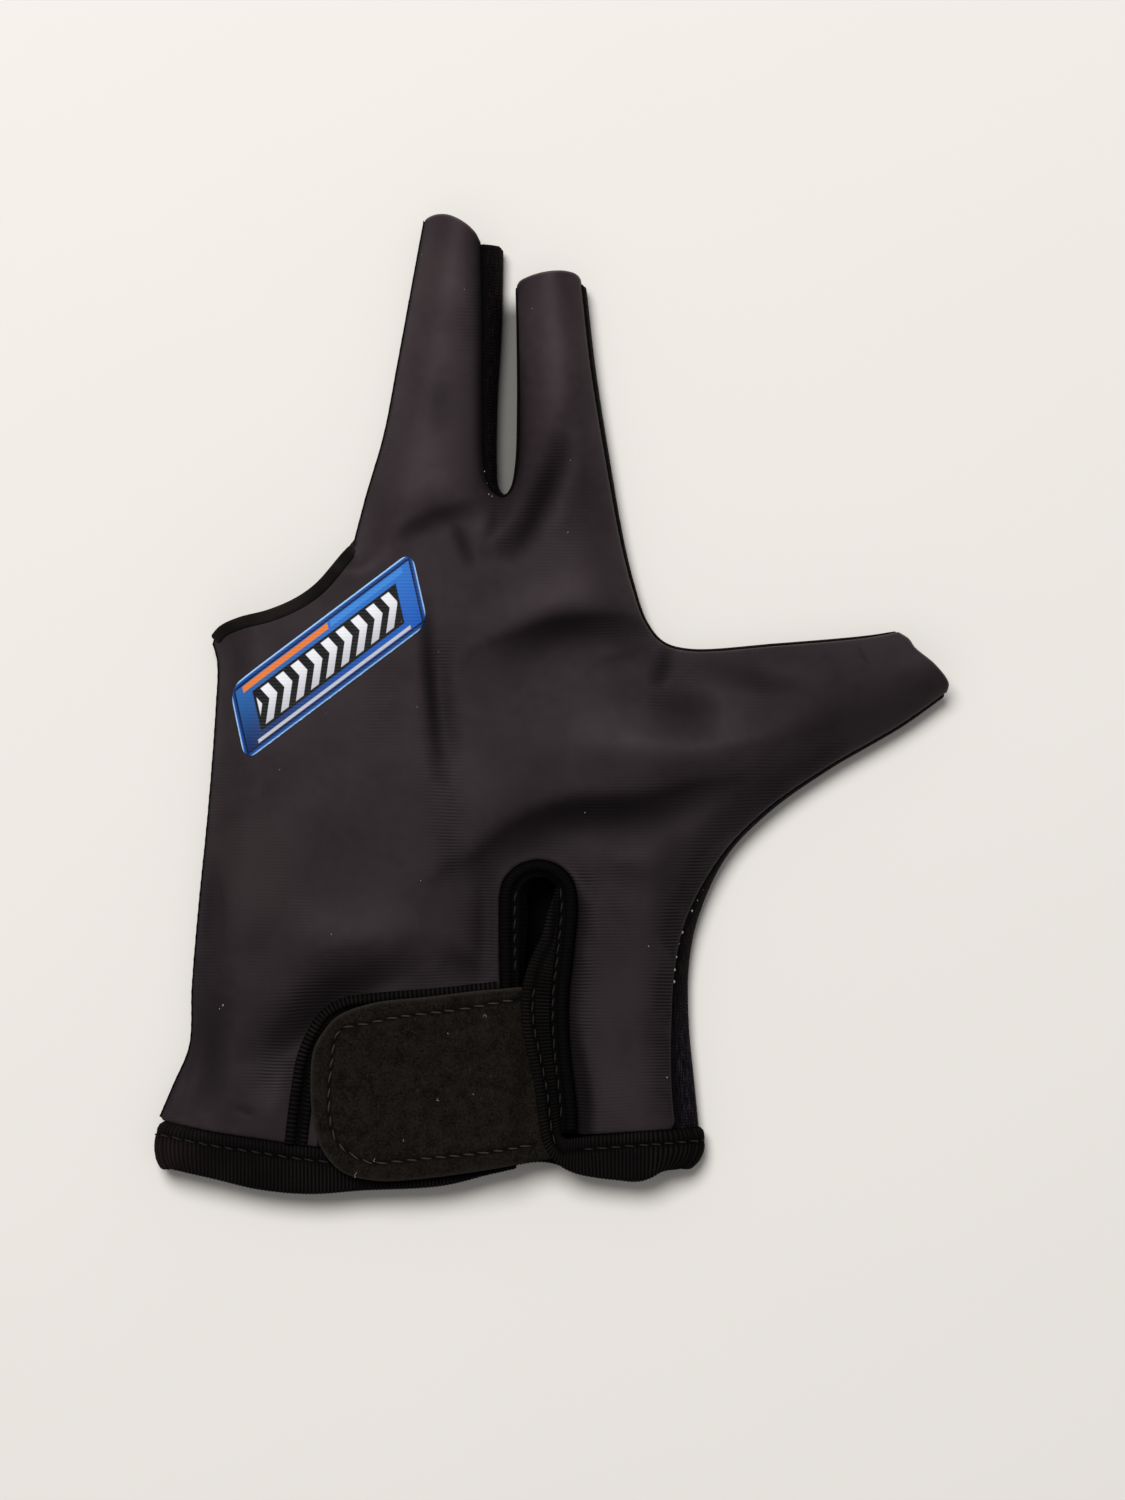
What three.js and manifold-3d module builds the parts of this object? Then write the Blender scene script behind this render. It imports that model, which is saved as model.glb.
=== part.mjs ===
// A three-finger billiard glove for the left hand, lying palm down with its back up.
// Millimetres. +X points to the thumb, +Y to the fingertips and +Z up from the table,
// and the origin is on the table under the middle of the glove.
import * as THREE from "three";
import { mergeVertices } from "three/addons/utils/BufferGeometryUtils.js";
import Module from "manifold-3d";

const wasm = await Module();
wasm.setup();

// Driving sizes
const cloth = 1.0; // wall of the stretch cloth and of the mesh
const tape = 2.2; // ribbed tape folded over a cloth edge
const gap = 0.3; // left between neighbouring pieces
const edgeHeight = 4.5; // top of the back where it meets a side seam
const domeReach = 15; // from a seam to where the back is fully raised
const ringTapeWidth = 3;
const patchTapeWidth = 5;
const tabThickness = 1.5;
const bandLift = 3.5; // how far the slit's tape climbs over the end of the tab
const bandOverTab = 1.2; // its thickness there
const seamStep = 5; // between sampled points of a seam
const cell = 4.8; // facet of the upper side
const high = 60; // taller than the glove, for cutting prisms

// Side seams, clockwise from the left of the wrist. Each row is a station of the outline,
// and mesh is the width of mesh gusset that shows inside it.
const littleSide = [
  { x: -86.0, y: -90.5, mesh: 0 },
  { x: -83.0, y: -83.5, mesh: 0 },
  { x: -79.5, y: -75.0, mesh: 0 },
  { x: -78.9, y: -62.0, mesh: 0 },
  { x: -77.4, y: -44.0, mesh: 0 },
  { x: -75.4, y: -24.0, mesh: 0 },
  { x: -73.7, y: -2.0, mesh: 0 },
  { x: -74.4, y: 14.0, mesh: 0 },
];
const middleOuter = [
  { x: -43.5, y: 35.0, mesh: 0 },
  { x: -40.6, y: 46.0, mesh: 0 },
  { x: -36.7, y: 59.4, mesh: 0 },
  { x: -33.7, y: 75.0, mesh: 0 },
  { x: -30.1, y: 94.6, mesh: 0 },
  { x: -27.9, y: 106.5, mesh: 0 },
];
const crotch = [
  { x: -10.5, y: 100.0, mesh: 4.7 },
  { x: -11.0, y: 82.5, mesh: 4.0 },
  { x: -11.9, y: 67.0, mesh: 3.1 },
  { x: -12.1, y: 53.0, mesh: 2.5 },
  { x: -11.6, y: 48.0, mesh: 2.2 },
  { x: -10.2, y: 46.2, mesh: 1.5 },
  { x: -8.7, y: 47.8, mesh: 0.8 },
  { x: -7.8, y: 53.0, mesh: 0.5 },
  { x: -7.4, y: 65.0, mesh: 0.4 },
  { x: -7.5, y: 83.0, mesh: 0.4 },
  { x: -7.7, y: 92.2, mesh: 0.4 },
];
const web = [
  { x: 7.6, y: 92.4, mesh: 0.9 },
  { x: 9.7, y: 74.0, mesh: 0.9 },
  { x: 12.5, y: 56.0, mesh: 0.8 },
  { x: 16.1, y: 35.4, mesh: 0.6 },
  { x: 18.5, y: 25.7, mesh: 0.5 },
  { x: 21.0, y: 18.5, mesh: 0.4 },
  { x: 24.6, y: 14.0, mesh: 0.4 },
  { x: 30.3, y: 12.3, mesh: 0.4 },
  { x: 50.0, y: 13.5, mesh: 0.4 },
  { x: 69.7, y: 15.2, mesh: 0.4 },
  { x: 76.2, y: 16.3, mesh: 0.4 },
];
const thumbSide = [
  { x: 86.9, y: 2.2, mesh: 0.4 },
  { x: 77.4, y: -4.6, mesh: 0.5 },
  { x: 60.9, y: -14.3, mesh: 0.6 },
  { x: 48.0, y: -23.5, mesh: 0.8 },
  { x: 38.5, y: -33.4, mesh: 1.0 },
  { x: 32.1, y: -47.5, mesh: 2.4 },
  { x: 30.2, y: -58.0, mesh: 2.9 },
  { x: 30.2, y: -70.0, mesh: 3.7 },
  { x: 31.4, y: -83.0, mesh: 4.9 },
  { x: 32.2, y: -91.0, mesh: 5.0 },
];

// Open edges: the hole for the ring and little fingers, and the three fingertips.
const ringEdge = [
  { x: -74.4, y: 15.2 },
  { x: -66.5, y: 19.8 },
  { x: -59.2, y: 22.2 },
  { x: -51.8, y: 27.9 },
  { x: -43.7, y: 36.1 },
];
const middleTip = [
  { x: -27.7, y: 106.8 },
  { x: -25.2, y: 107.4 },
  { x: -21.1, y: 106.0 },
  { x: -17.8, y: 103.8 },
  { x: -15.4, y: 101.2 },
];
const indexTip = [
  { x: -7.4, y: 92.4 },
  { x: -6.2, y: 93.8 },
  { x: -2.0, y: 94.8 },
  { x: 3.0, y: 95.0 },
  { x: 6.5, y: 93.2 },
];
const thumbTip = [
  { x: 76.4, y: 16.1 },
  { x: 78.6, y: 14.4 },
  { x: 79.6, y: 12.6 },
  { x: 84.0, y: 8.8 },
  { x: 87.3, y: 4.6 },
  { x: 87.0, y: 2.8 },
];

// Cuff: the upper and lower edge of its tape, at stations across the wrist.
const cuff = [
  { x: -87.2, top: -94.2, bottom: -98.8 },
  { x: -86.0, top: -90.9, bottom: -101.4 },
  { x: -75.0, top: -93.5, bottom: -103.6 },
  { x: -64.0, top: -95.2, bottom: -106.2 },
  { x: -53.0, top: -96.8, bottom: -107.3 },
  { x: -41.0, top: -97.6, bottom: -106.4 },
  { x: -24.0, top: -97.4, bottom: -105.4 },
  { x: -12.0, top: -96.2, bottom: -102.6 },
  { x: -2.0, top: -94.8, bottom: -100.9 },
  { x: 8.0, top: -94.0, bottom: -102.6 },
  { x: 19.6, top: -93.5, bottom: -104.9 },
  { x: 29.7, top: -93.1, bottom: -102.2 },
  { x: 32.7, top: -92.9, bottom: -98.4 },
  { x: 33.1, top: -94.4, bottom: -96.6 },
];

// The slit's tape: where its two arms lie, at stations up the wrist. An arch joins them.
const slit = [
  { y: -94.2, outerLeft: -11.0, innerLeft: -7.6, innerRight: -3.1, outerRight: 5.9 },
  { y: -87.0, outerLeft: -11.0, innerLeft: -7.6, innerRight: -4.0, outerRight: 5.4 },
  { y: -77.0, outerLeft: -11.0, innerLeft: -7.4, innerRight: -5.3, outerRight: 4.2 },
  { y: -69.0, outerLeft: -11.0, innerLeft: -7.3, innerRight: -6.4, outerRight: 3.7 },
  { y: -62.0, outerLeft: -11.0, innerLeft: -7.2, innerRight: -6.5, outerRight: 3.9 },
  { y: -57.0, outerLeft: -11.1, innerLeft: -6.6, innerRight: -5.5, outerRight: 4.5 },
  { y: -52.0, outerLeft: -11.2, innerLeft: -5.0, innerRight: -3.4, outerRight: 5.0 },
  { y: -46.0, outerLeft: -11.2, innerLeft: -3.9, innerRight: -1.2, outerRight: 5.6 },
  { y: -42.0, outerLeft: -11.1, innerLeft: -4.0, innerRight: 0.0, outerRight: 5.6 },
];
const arch = { rise: 7.6, innerRise: 3.0, steps: 10 };

// The tape round the loop patch: its outer edge, from the cuff up and over to the slit.
const patchEdge = [
  { x: -58.5, y: -97.0 },
  { x: -57.0, y: -85.0 },
  { x: -55.2, y: -76.3 },
  { x: -51.9, y: -68.8 },
  { x: -46.5, y: -64.8 },
  { x: -37.6, y: -63.3 },
  { x: -25.0, y: -62.0 },
  { x: -12.1, y: -60.7 },
];

// The closure tab's outline, clockwise from where it leaves the slit's tape.
const tabEdge = [
  { x: -4.6, y: -99.2 },
  { x: -16.0, y: -101.7 },
  { x: -29.3, y: -103.5 },
  { x: -38.5, y: -103.9 },
  { x: -45.6, y: -102.2 },
  { x: -50.3, y: -96.0 },
  { x: -52.4, y: -86.5 },
  { x: -52.0, y: -75.5 },
  { x: -47.2, y: -68.2 },
  { x: -39.4, y: -64.8 },
  { x: -26.0, y: -63.3 },
  { x: -12.5, y: -61.8 },
  { x: -4.6, y: -62.0 },
];

// The printed badge: a plain slanted panel with rounded corners.
const badge = { x: -48.5, y: 10.5, length: 50, width: 15, turn: 37, slant: 0.45, corner: 3 };

// How far the back is raised above its seams, up the hand.
const crowns = [
  { y: -110, crown: 3.6 },
  { y: -90, crown: 4.2 },
  { y: -60, crown: 5.6 },
  { y: -20, crown: 8.0 },
  { y: 25, crown: 8.0 },
  { y: 60, crown: 8.6 },
  { y: 110, crown: 8.6 },
];

// Soft folds in the back: a line, its half width, and its height, negative for a valley.
const folds = [
  { x1: 1.0, y1: 55.0, x2: -6.0, y2: 40.0, width: 2.6, height: -1.3 },
  { x1: -6.0, y1: 40.0, x2: -10.0, y2: 33.0, width: 3.0, height: -1.0 },
  { x1: -15.0, y1: 45.0, x2: -31.0, y2: 38.5, width: 2.4, height: -0.8 },
  { x1: -19.5, y1: 38.0, x2: -17.0, y2: 29.0, width: 1.8, height: -0.5 },
  { x1: 19.0, y1: 17.0, x2: -7.0, y2: 15.5, width: 4.2, height: -1.0 },
  { x1: -5.0, y1: -27.0, x2: 30.0, y2: -16.5, width: 4.5, height: -1.6 },
  { x1: 33.0, y1: 5.5, x2: 56.0, y2: 2.5, width: 4.0, height: -0.9 },
  { x1: -26.5, y1: 22.0, x2: -26.5, y2: -14.0, width: 3.0, height: -0.7 },
  { x1: -74.0, y1: -38.0, x2: -67.0, y2: -62.0, width: 5.0, height: -0.7 },
];

const vector = (row) => new THREE.Vector3(row.x, row.y, row.mesh ?? 0);

// Evenly spaced points of a smooth curve through a table's rows; z carries the mesh width.
function spaced(rows, step = seamStep) {
  const curve = new THREE.CatmullRomCurve3(rows.map(vector));
  return curve.getSpacedPoints(Math.max(3, Math.round(curve.getLength() / step)));
}

// A line moved to its right, which is inward on the clockwise outline.
function inset(line, distance, meshShare = 0) {
  return line.map((p, i) => {
    const before = line[Math.max(0, i - 1)];
    const after = line[Math.min(line.length - 1, i + 1)];
    const along = new THREE.Vector2(after.x - before.x, after.y - before.y).normalize();
    const d = distance + p.z * meshShare;
    return new THREE.Vector3(p.x + along.y * d, p.y - along.x * d, p.z);
  });
}

// A line carried on straight past its two ends.
function extended(line, before, after = before) {
  const past = (end, next, distance) =>
    end.clone().add(end.clone().sub(next).setLength(distance));
  return [past(line[0], line[1], before), ...line, past(line.at(-1), line.at(-2), after)];
}

// The side seams, with how far each is carried on past an open mouth to shape the back there.
const seams = [
  { line: spaced(littleSide), before: 30, after: 10 },
  { line: spaced(middleOuter), before: 0.1, after: 12 },
  { line: spaced(crotch), before: 12, after: 12 },
  { line: spaced(web), before: 12, after: 12 },
  { line: spaced(thumbSide), before: 12, after: 30 },
];
const [littleLine, middleLine, crotchLine, webLine, thumbLine] = seams.map(({ line }) => line);
const pastRingEdge = [{ x: -66, y: 40 }, { x: -48, y: 44 }].map(vector);
const insideOfSeams = seams.flatMap((seam) => extended(seam.line, seam.before, seam.after));
insideOfSeams.splice(littleLine.length + 2, 0, ...pastRingEdge);
const seamPoints = seams.flatMap((seam) => {
  const whole = extended(seam.line, seam.before, seam.after);
  return spaced(whole.map(({ x, y }) => ({ x, y })), seamStep / 2);
});

function isInside(x, y, polygon) {
  let inside = false;
  polygon.forEach((a, i) => {
    const b = polygon[(i + 1) % polygon.length];
    const crosses = a.y > y !== b.y > y && x < a.x + ((y - a.y) * (b.x - a.x)) / (b.y - a.y);
    if (crosses) inside = !inside;
  });
  return inside;
}

// A smooth distance to the side seams: for one long straight seam it is the true distance.
function seamDistance(x, y) {
  const sum = seamPoints.reduce((total, p) => {
    const squared = (p.x - x) ** 2 + (p.y - y) ** 2 + 0.05;
    return total + seamStep / 2 / squared ** 1.5;
  }, 0);
  return Math.sqrt(2 / sum);
}

function smooth(t) {
  const s = THREE.MathUtils.clamp(t, 0, 1);
  return s * s * (3 - 2 * s);
}

function crownAt(y) {
  const next = crowns.findIndex((row) => row.y > y);
  if (next <= 0) return crowns.at(next).crown;
  const [a, b] = [crowns[next - 1], crowns[next]];
  return THREE.MathUtils.lerp(a.crown, b.crown, smooth((y - a.y) / (b.y - a.y)));
}

function foldAt(x, y) {
  const point = new THREE.Vector3(x, y, 0);
  return folds.reduce((sum, f) => {
    const line = new THREE.Line3(vector({ x: f.x1, y: f.y1 }), vector({ x: f.x2, y: f.y2 }));
    const away = line.closestPointToPoint(point, true, new THREE.Vector3()).distanceTo(point);
    return sum + f.height * Math.exp(-((away / f.width) ** 2));
  }, 0);
}

// Height of the glove's upper surface: up from the seams in a dome, with the folds in it.
function backTop(x, y) {
  const side = isInside(x, y, insideOfSeams) ? 1 : -1;
  const t = THREE.MathUtils.clamp((side * seamDistance(x, y)) / domeReach, -0.3, 1);
  const dome = t * (2 - t);
  return edgeHeight + crownAt(y) * dome + foldAt(x, y) * smooth(t * 1.6);
}
const above = (lift) => (x, y) => backTop(x, y) + lift;
const level = (z) => () => z;

// A geometry as a closed solid that can be joined and cut.
function solid(geometry) {
  geometry.deleteAttribute("normal");
  geometry.deleteAttribute("uv");
  const merged = mergeVertices(geometry, 1e-4);
  const vertProperties = merged.attributes.position.array;
  const triVerts = new Uint32Array(merged.index.array);
  return new wasm.Manifold(new wasm.Mesh({ numProp: 3, vertProperties, triVerts }));
}

// An upright prism on a closed outline.
function prism(outline) {
  const shape = new THREE.Shape(outline.map((p) => new THREE.Vector2(p.x, p.y)));
  const made = new THREE.ExtrudeGeometry(shape, { depth: high, bevelEnabled: false });
  return solid(made.translate(0, 0, -high / 4));
}

// A sheet over a closed outline, between two height functions. Its facets lie on one grid
// that all sheets share, so that a sheet on another one follows it at an even distance.
function sheet(outline, upper, lower) {
  const box = new THREE.Box3().setFromPoints(outline).expandByScalar(cell * 0.05);
  box.min.divideScalar(cell).floor().multiplyScalar(cell);
  box.max.divideScalar(cell).ceil().multiplyScalar(cell);
  const size = box.getSize(new THREE.Vector3());
  const [columns, rows] = [Math.round(size.x / cell), Math.round(size.y / cell)];
  const slab = new THREE.BoxGeometry(size.x, size.y, 1, columns, rows, 1);
  const centre = box.getCenter(new THREE.Vector3());
  const place = slab.attributes.position;
  for (let i = 0; i < place.count; i++) {
    const [x, y] = [place.getX(i) + centre.x, place.getY(i) + centre.y];
    const z = place.getZ(i) > 0 ? upper(x, y) : lower(x, y);
    place.setXYZ(i, x, y, z);
  }
  return solid(slab).intersect(prism(outline));
}

// A skin through a row of sections that each have the same number of points.
function loft(sections) {
  const count = sections[0].length;
  const points = sections.flat();
  const faces = [];
  for (let s = 0; s + 1 < sections.length; s++) {
    for (let i = 0; i < count; i++) {
      const [a, b] = [s * count + i, s * count + ((i + 1) % count)];
      faces.push(a, b, a + count, b, b + count, a + count);
    }
  }
  const last = (sections.length - 1) * count;
  const flat = sections[0].map((p, i) => new THREE.Vector2(i, 0));
  const half = count / 2; // each end is a strip between the outer and the inner wall
  for (let i = 0; i + 1 < half; i++) {
    const [a, b, c, d] = [i, i + 1, flat.length - 2 - i, flat.length - 1 - i];
    faces.push(a, d, b, b, d, c);
    faces.push(last + a, last + b, last + d, last + b, last + c, last + d);
  }
  const geometry = new THREE.BufferGeometry().setFromPoints(points);
  return solid(geometry.setIndex(faces));
}

// A flat plate on a closed outline.
function plate(outline, thickness) {
  const shape = new THREE.Shape(outline.map((p) => new THREE.Vector2(p.x, p.y)));
  return solid(new THREE.ExtrudeGeometry(shape, { depth: thickness, bevelEnabled: false }));
}

// A strip of one width along a line, to its right.
const strip = (line, width) => [...line, ...inset(line, width).reverse()];

// The whole glove's outline, with its seam lines moved in.
function gloveOutline(move, meshShare, tipShort) {
  const edge = (line) => inset(line, move, meshShare);
  const tip = (rows) => inset(spaced(rows, 1.6), tipShort);
  return [
    new THREE.Vector3(littleSide[0].x, -high * 2, 0),
    ...edge(littleLine),
    ...spaced(ringEdge),
    ...edge(middleLine),
    ...tip(middleTip),
    ...edge(crotchLine),
    ...tip(indexTip),
    ...edge(webLine),
    ...tip(thumbTip),
    ...edge(thumbLine),
    new THREE.Vector3(thumbSide.at(-1).x, -high * 2, 0),
  ];
}

const ringLine = spaced(ringEdge, 3);
const ringCut = prism([
  ...inset(extended(ringLine, 4, gap), -8),
  ...inset(extended(ringLine, 4, gap), ringTapeWidth + gap).reverse(),
]);

const cuffTopLine = spaced(cuff.map(({ x, top }) => ({ x, y: top })), 5);
const cuffBottomLine = spaced(cuff.map(({ x, bottom }) => ({ x, y: bottom })), 4);
const cuffOutline = [...cuffTopLine, ...cuffBottomLine.toReversed()];
const belowWrist = (y) => [new THREE.Vector3(high * 2, y, 0), new THREE.Vector3(-high * 2, y, 0)];
const cuffCut = prism([...inset(extended(cuffTopLine, 9), -gap), ...belowWrist(-high * 2.5)]);

// Outer and inner outline of the slit's tape, down past the cuff so that the cuff trims it.
function slitLine(left, right, rise) {
  const [bottom, top] = [slit[0], slit.at(-1)];
  const side = (key) => slit.map((row) => ({ x: row[key], y: row.y }));
  const middle = (top[left] + top[right]) / 2;
  const reach = (top[right] - top[left]) / 2;
  const round = Array.from({ length: arch.steps - 1 }, (_, i) => {
    const angle = Math.PI * (1 - (i + 1) / arch.steps);
    return { x: middle + reach * Math.cos(angle), y: top.y + rise * Math.sin(angle) };
  });
  const below = (key) => ({ x: bottom[key], y: bottom.y - 8 });
  const line = [below(left), ...side(left), ...round, ...side(right).reverse(), below(right)];
  return line.map(vector);
}
const slitOuter = slitLine("outerLeft", "outerRight", arch.rise);
const slitInner = slitLine("innerLeft", "innerRight", arch.innerRise);

function backPanel() {
  const panel = sheet(gloveOutline(0.1, 1, 0), above(0), above(-cloth));
  const slitCut = prism(inset(slitOuter, -gap));
  return panel.subtract(ringCut).subtract(cuffCut).subtract(slitCut);
}

// The back panel and the space that is kept free round it.
const roomOfBack = sheet(gloveOutline(0.1 - gap, 1, 0), above(high / 4), above(-cloth - gap));

// The lower layer, with the standing rim that closes the two sides that have no gusset.
function palmPanel() {
  const rimTop = edgeHeight - cloth - gap * 2;
  const rim = (line) => {
    const [outer, inner] = [inset(line, 0.1), inset(line, 0.1 + cloth)];
    const wall = outer.map((p, i) => [
      new THREE.Vector3(p.x, p.y, cloth / 2),
      new THREE.Vector3(p.x, p.y, rimTop),
      new THREE.Vector3(inner[i].x, inner[i].y, rimTop),
      new THREE.Vector3(inner[i].x, inner[i].y, cloth / 2),
    ]);
    return loft(wall);
  };
  const floor = plate(gloveOutline(0.1, 0, 1.2), cloth);
  const whole = floor.add(rim(littleLine)).add(rim(middleLine));
  return whole.subtract(ringCut).subtract(cuffCut).subtract(roomOfBack);
}

// A mesh gusset: it hangs from under the back's edge, bulges to the outline and stands on the palm.
function gusset(line) {
  const foot = cloth + gap;
  const under = cloth + gap * 2.5;
  const sections = line.map((_, i) => {
    const at = (away, drop) => {
      const p = inset(line, away)[i];
      return new THREE.Vector3(p.x, p.y, backTop(p.x, p.y) - drop);
    };
    const wall = (away, z) => at(away, 0).setZ(z);
    const m = line[i].z;
    return [
      wall(0, foot),
      wall(0, edgeHeight - under),
      at(m * 0.5, m > 1.5 ? 0.2 : under),
      at(m + 0.3, under),
      at(m + 1.6, under),
      at(m + 2.0, under + cloth),
      at(m + 0.8, under + cloth),
      at(m * 0.5 + cloth, under + cloth),
      wall(cloth, edgeHeight - under - cloth),
      wall(cloth, foot),
    ];
  });
  return loft(sections).subtract(roomOfBack);
}

// The tape round the hole for the ring and little fingers: one loop, over both layers.
function ringBinding() {
  const band = strip(ringLine, ringTapeWidth);
  const upper = sheet(band, above(0.5), above(0.5 - tape));
  const lower = plate(band, tape);
  const ends = [ringLine.slice(0, 2), ringLine.slice(-2)].map((line) =>
    sheet(strip(line, ringTapeWidth), above(0.5), level(0)),
  );
  return upper.add(lower).add(ends[0]).add(ends[1]);
}

// The cuff: one ribbed tape round the whole wrist, open where the slit comes down to it.
function cuffBinding() {
  const lower = plate(cuffOutline, tape);
  const upper = sheet(cuffOutline, above(0.7), above(0.7 - tape));
  const mouth = prism([
    new THREE.Vector3(slit[0].innerLeft, -high * 2, 0),
    new THREE.Vector3(slit[0].innerLeft, 0, 0),
    new THREE.Vector3(slit[0].innerRight, 0, 0),
    new THREE.Vector3(slit[0].innerRight, -high * 2, 0),
  ]);
  const solidEnds = sheet(cuffOutline, above(0.7), level(0));
  const between = prism([
    new THREE.Vector3(cuff[0].x + tape, -high * 2, 0),
    new THREE.Vector3(cuff[0].x + tape, 0, 0),
    new THREE.Vector3(cuff.at(-1).x - tape, 0, 0),
    new THREE.Vector3(cuff.at(-1).x - tape, -high * 2, 0),
  ]);
  return upper.subtract(mouth).add(lower).add(solidEnds.subtract(between));
}

// How far the slit's right arm is lifted, to pass over the end of the tab.
function armLift(x, y) {
  const across = smooth((slit[3].outerRight - x) / 7);
  const along = smooth((-54 - y) / 5) * smooth((y + 97) / 8);
  return bandLift * across * along;
}

// The left arm lies flat, and the right arm and the arch are shaped apart from it.
function slitBinding() {
  const between = (slit[4].innerLeft + slit[4].innerRight) / 2;
  const leftSide = prism([
    new THREE.Vector3(between, -high * 2, 0),
    new THREE.Vector3(-high, -high * 2, 0),
    new THREE.Vector3(-high, 0, 0),
    new THREE.Vector3(between, 0, 0),
  ]);
  const thickness = tape * 0.75;
  const thinned = (thickness - bandOverTab) / bandLift;
  const upper = (x, y) => backTop(x, y) + 0.7 + armLift(x, y);
  const lower = (x, y) => upper(x, y) - thickness + armLift(x, y) * thinned;
  const right = sheet(slitOuter, upper, lower).subtract(leftSide);
  const left = sheet(slitOuter, above(0.7), above(0.7 - thickness)).intersect(leftSide);
  return right.add(left).subtract(prism(slitInner)).subtract(cuffCut);
}

const patchLine = spaced(patchEdge, 4);

function patchBinding() {
  const band = strip(patchLine, patchTapeWidth);
  return sheet(band, above(gap + 1.1), above(gap)).subtract(cuffCut);
}

function loopPatch() {
  const inner = inset(patchLine, patchTapeWidth + gap);
  const right = slit[0].outerLeft - gap * 2;
  const outline = [
    ...inner.filter((p) => p.x < right - 1),
    new THREE.Vector3(right, inner.at(-1).y, 0),
    new THREE.Vector3(right, patchEdge[0].y, 0),
  ];
  return sheet(outline, above(gap + cloth), above(gap)).subtract(cuffCut);
}

function closureTab() {
  const sunk = (x) => (gap * 2 + 1.1) - 0.8 * smooth((x + 10) / 5);
  const lower = (x, y) => backTop(x, y) + sunk(x);
  const upper = (x, y) => lower(x, y) + tabThickness;
  return sheet(spaced(tabEdge, 2.6), upper, lower);
}

function printedBadge() {
  const [l, w, r] = [badge.length / 2, badge.width / 2, badge.corner];
  const shape = new THREE.Shape();
  shape.moveTo(-l + r, -w);
  shape.lineTo(l - r, -w).quadraticCurveTo(l, -w, l, -w + r);
  shape.lineTo(l, w - r).quadraticCurveTo(l, w, l - r, w);
  shape.lineTo(-l + r, w).quadraticCurveTo(-l, w, -l, w - r);
  shape.lineTo(-l, -w + r).quadraticCurveTo(-l, -w, -l + r, -w);
  const turn = THREE.MathUtils.degToRad(badge.turn);
  const outline = shape.getPoints(4).slice(0, -1).map((p) => {
    const slanted = new THREE.Vector2(p.x + p.y * badge.slant, p.y);
    const turned = slanted.rotateAround(new THREE.Vector2(), turn);
    return new THREE.Vector3(turned.x + badge.x, turned.y + badge.y, 0);
  });
  return sheet(outline, above(gap * 2 + 0.5), above(gap * 2));
}

const material = (color, roughness) =>
  new THREE.MeshStandardMaterial({ color, roughness, metalness: 0 });
const stretchCloth = material(0x2e2a2c, 0.6);
const meshCloth = material(0x1a1718, 0.9);
const ribbedTape = material(0x100f0e, 0.85);
const feltTab = material(0x171410, 1.0);
const print = material(0x24468f, 0.45);

const pieces = {
  back_panel: [backPanel(), stretchCloth],
  palm_panel: [palmPanel(), stretchCloth],
  finger_gusset: [gusset(crotchLine), meshCloth],
  web_gusset: [gusset(webLine), meshCloth],
  thumb_gusset: [gusset(thumbLine), meshCloth],
  ring_opening_tape: [ringBinding(), ribbedTape],
  cuff_tape: [cuffBinding(), ribbedTape],
  slit_tape: [slitBinding(), ribbedTape],
  patch_tape: [patchBinding(), ribbedTape],
  loop_patch: [loopPatch(), feltTab],
  closure_tab: [closureTab(), feltTab],
  printed_badge: [printedBadge(), print],
};

const glove = new THREE.Group();
for (const [name, [made, finish]] of Object.entries(pieces)) {
  const { vertProperties, triVerts } = made.getMesh();
  const geometry = new THREE.BufferGeometry();
  geometry.setAttribute("position", new THREE.BufferAttribute(vertProperties, 3));
  geometry.setIndex(new THREE.BufferAttribute(triVerts, 1));
  const mesh = new THREE.Mesh(geometry.toNonIndexed(), finish);
  mesh.geometry.computeVertexNormals();
  mesh.name = name;
  glove.add(mesh);
}

export default glove;
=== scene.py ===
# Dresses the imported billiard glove: stretch cloth with its folds, mesh gussets, ribbed
# tapes, felt tab, stitches and a print. Lengths are in millimetres until a mesh is made.
import math

import bmesh
import bpy
import numpy as np
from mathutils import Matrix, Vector
from mathutils.geometry import delaunay_2d_cdt
from mathutils.kdtree import KDTree


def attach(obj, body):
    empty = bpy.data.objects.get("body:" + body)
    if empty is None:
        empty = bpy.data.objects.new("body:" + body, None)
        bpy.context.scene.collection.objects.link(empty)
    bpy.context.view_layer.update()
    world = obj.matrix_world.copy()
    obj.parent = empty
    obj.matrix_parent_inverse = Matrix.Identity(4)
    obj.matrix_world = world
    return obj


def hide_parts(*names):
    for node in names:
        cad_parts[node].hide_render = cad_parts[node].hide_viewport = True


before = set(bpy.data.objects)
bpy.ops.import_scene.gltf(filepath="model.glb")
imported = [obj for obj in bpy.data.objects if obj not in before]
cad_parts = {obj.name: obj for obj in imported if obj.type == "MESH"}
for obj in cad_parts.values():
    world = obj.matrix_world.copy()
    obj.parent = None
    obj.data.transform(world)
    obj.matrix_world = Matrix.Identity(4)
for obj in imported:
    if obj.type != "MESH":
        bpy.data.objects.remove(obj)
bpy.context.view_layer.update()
rng = np.random.default_rng(11)
print("frame loaded")

# the shape of the whole glove, from the same tables as the part
glove = {
    "edgeHeight": 4.5,  # top of the back where it meets a side seam
    "domeReach": 12.0,  # from a seam to where the back is fully raised
    "cloth": 0.8,
    "uneven": 0.35,
    "seamStep": 0.9,  # between the points that stand for a seam
    "outlineStep": 0.8,
    "searchStep": 0.15,
}
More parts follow.
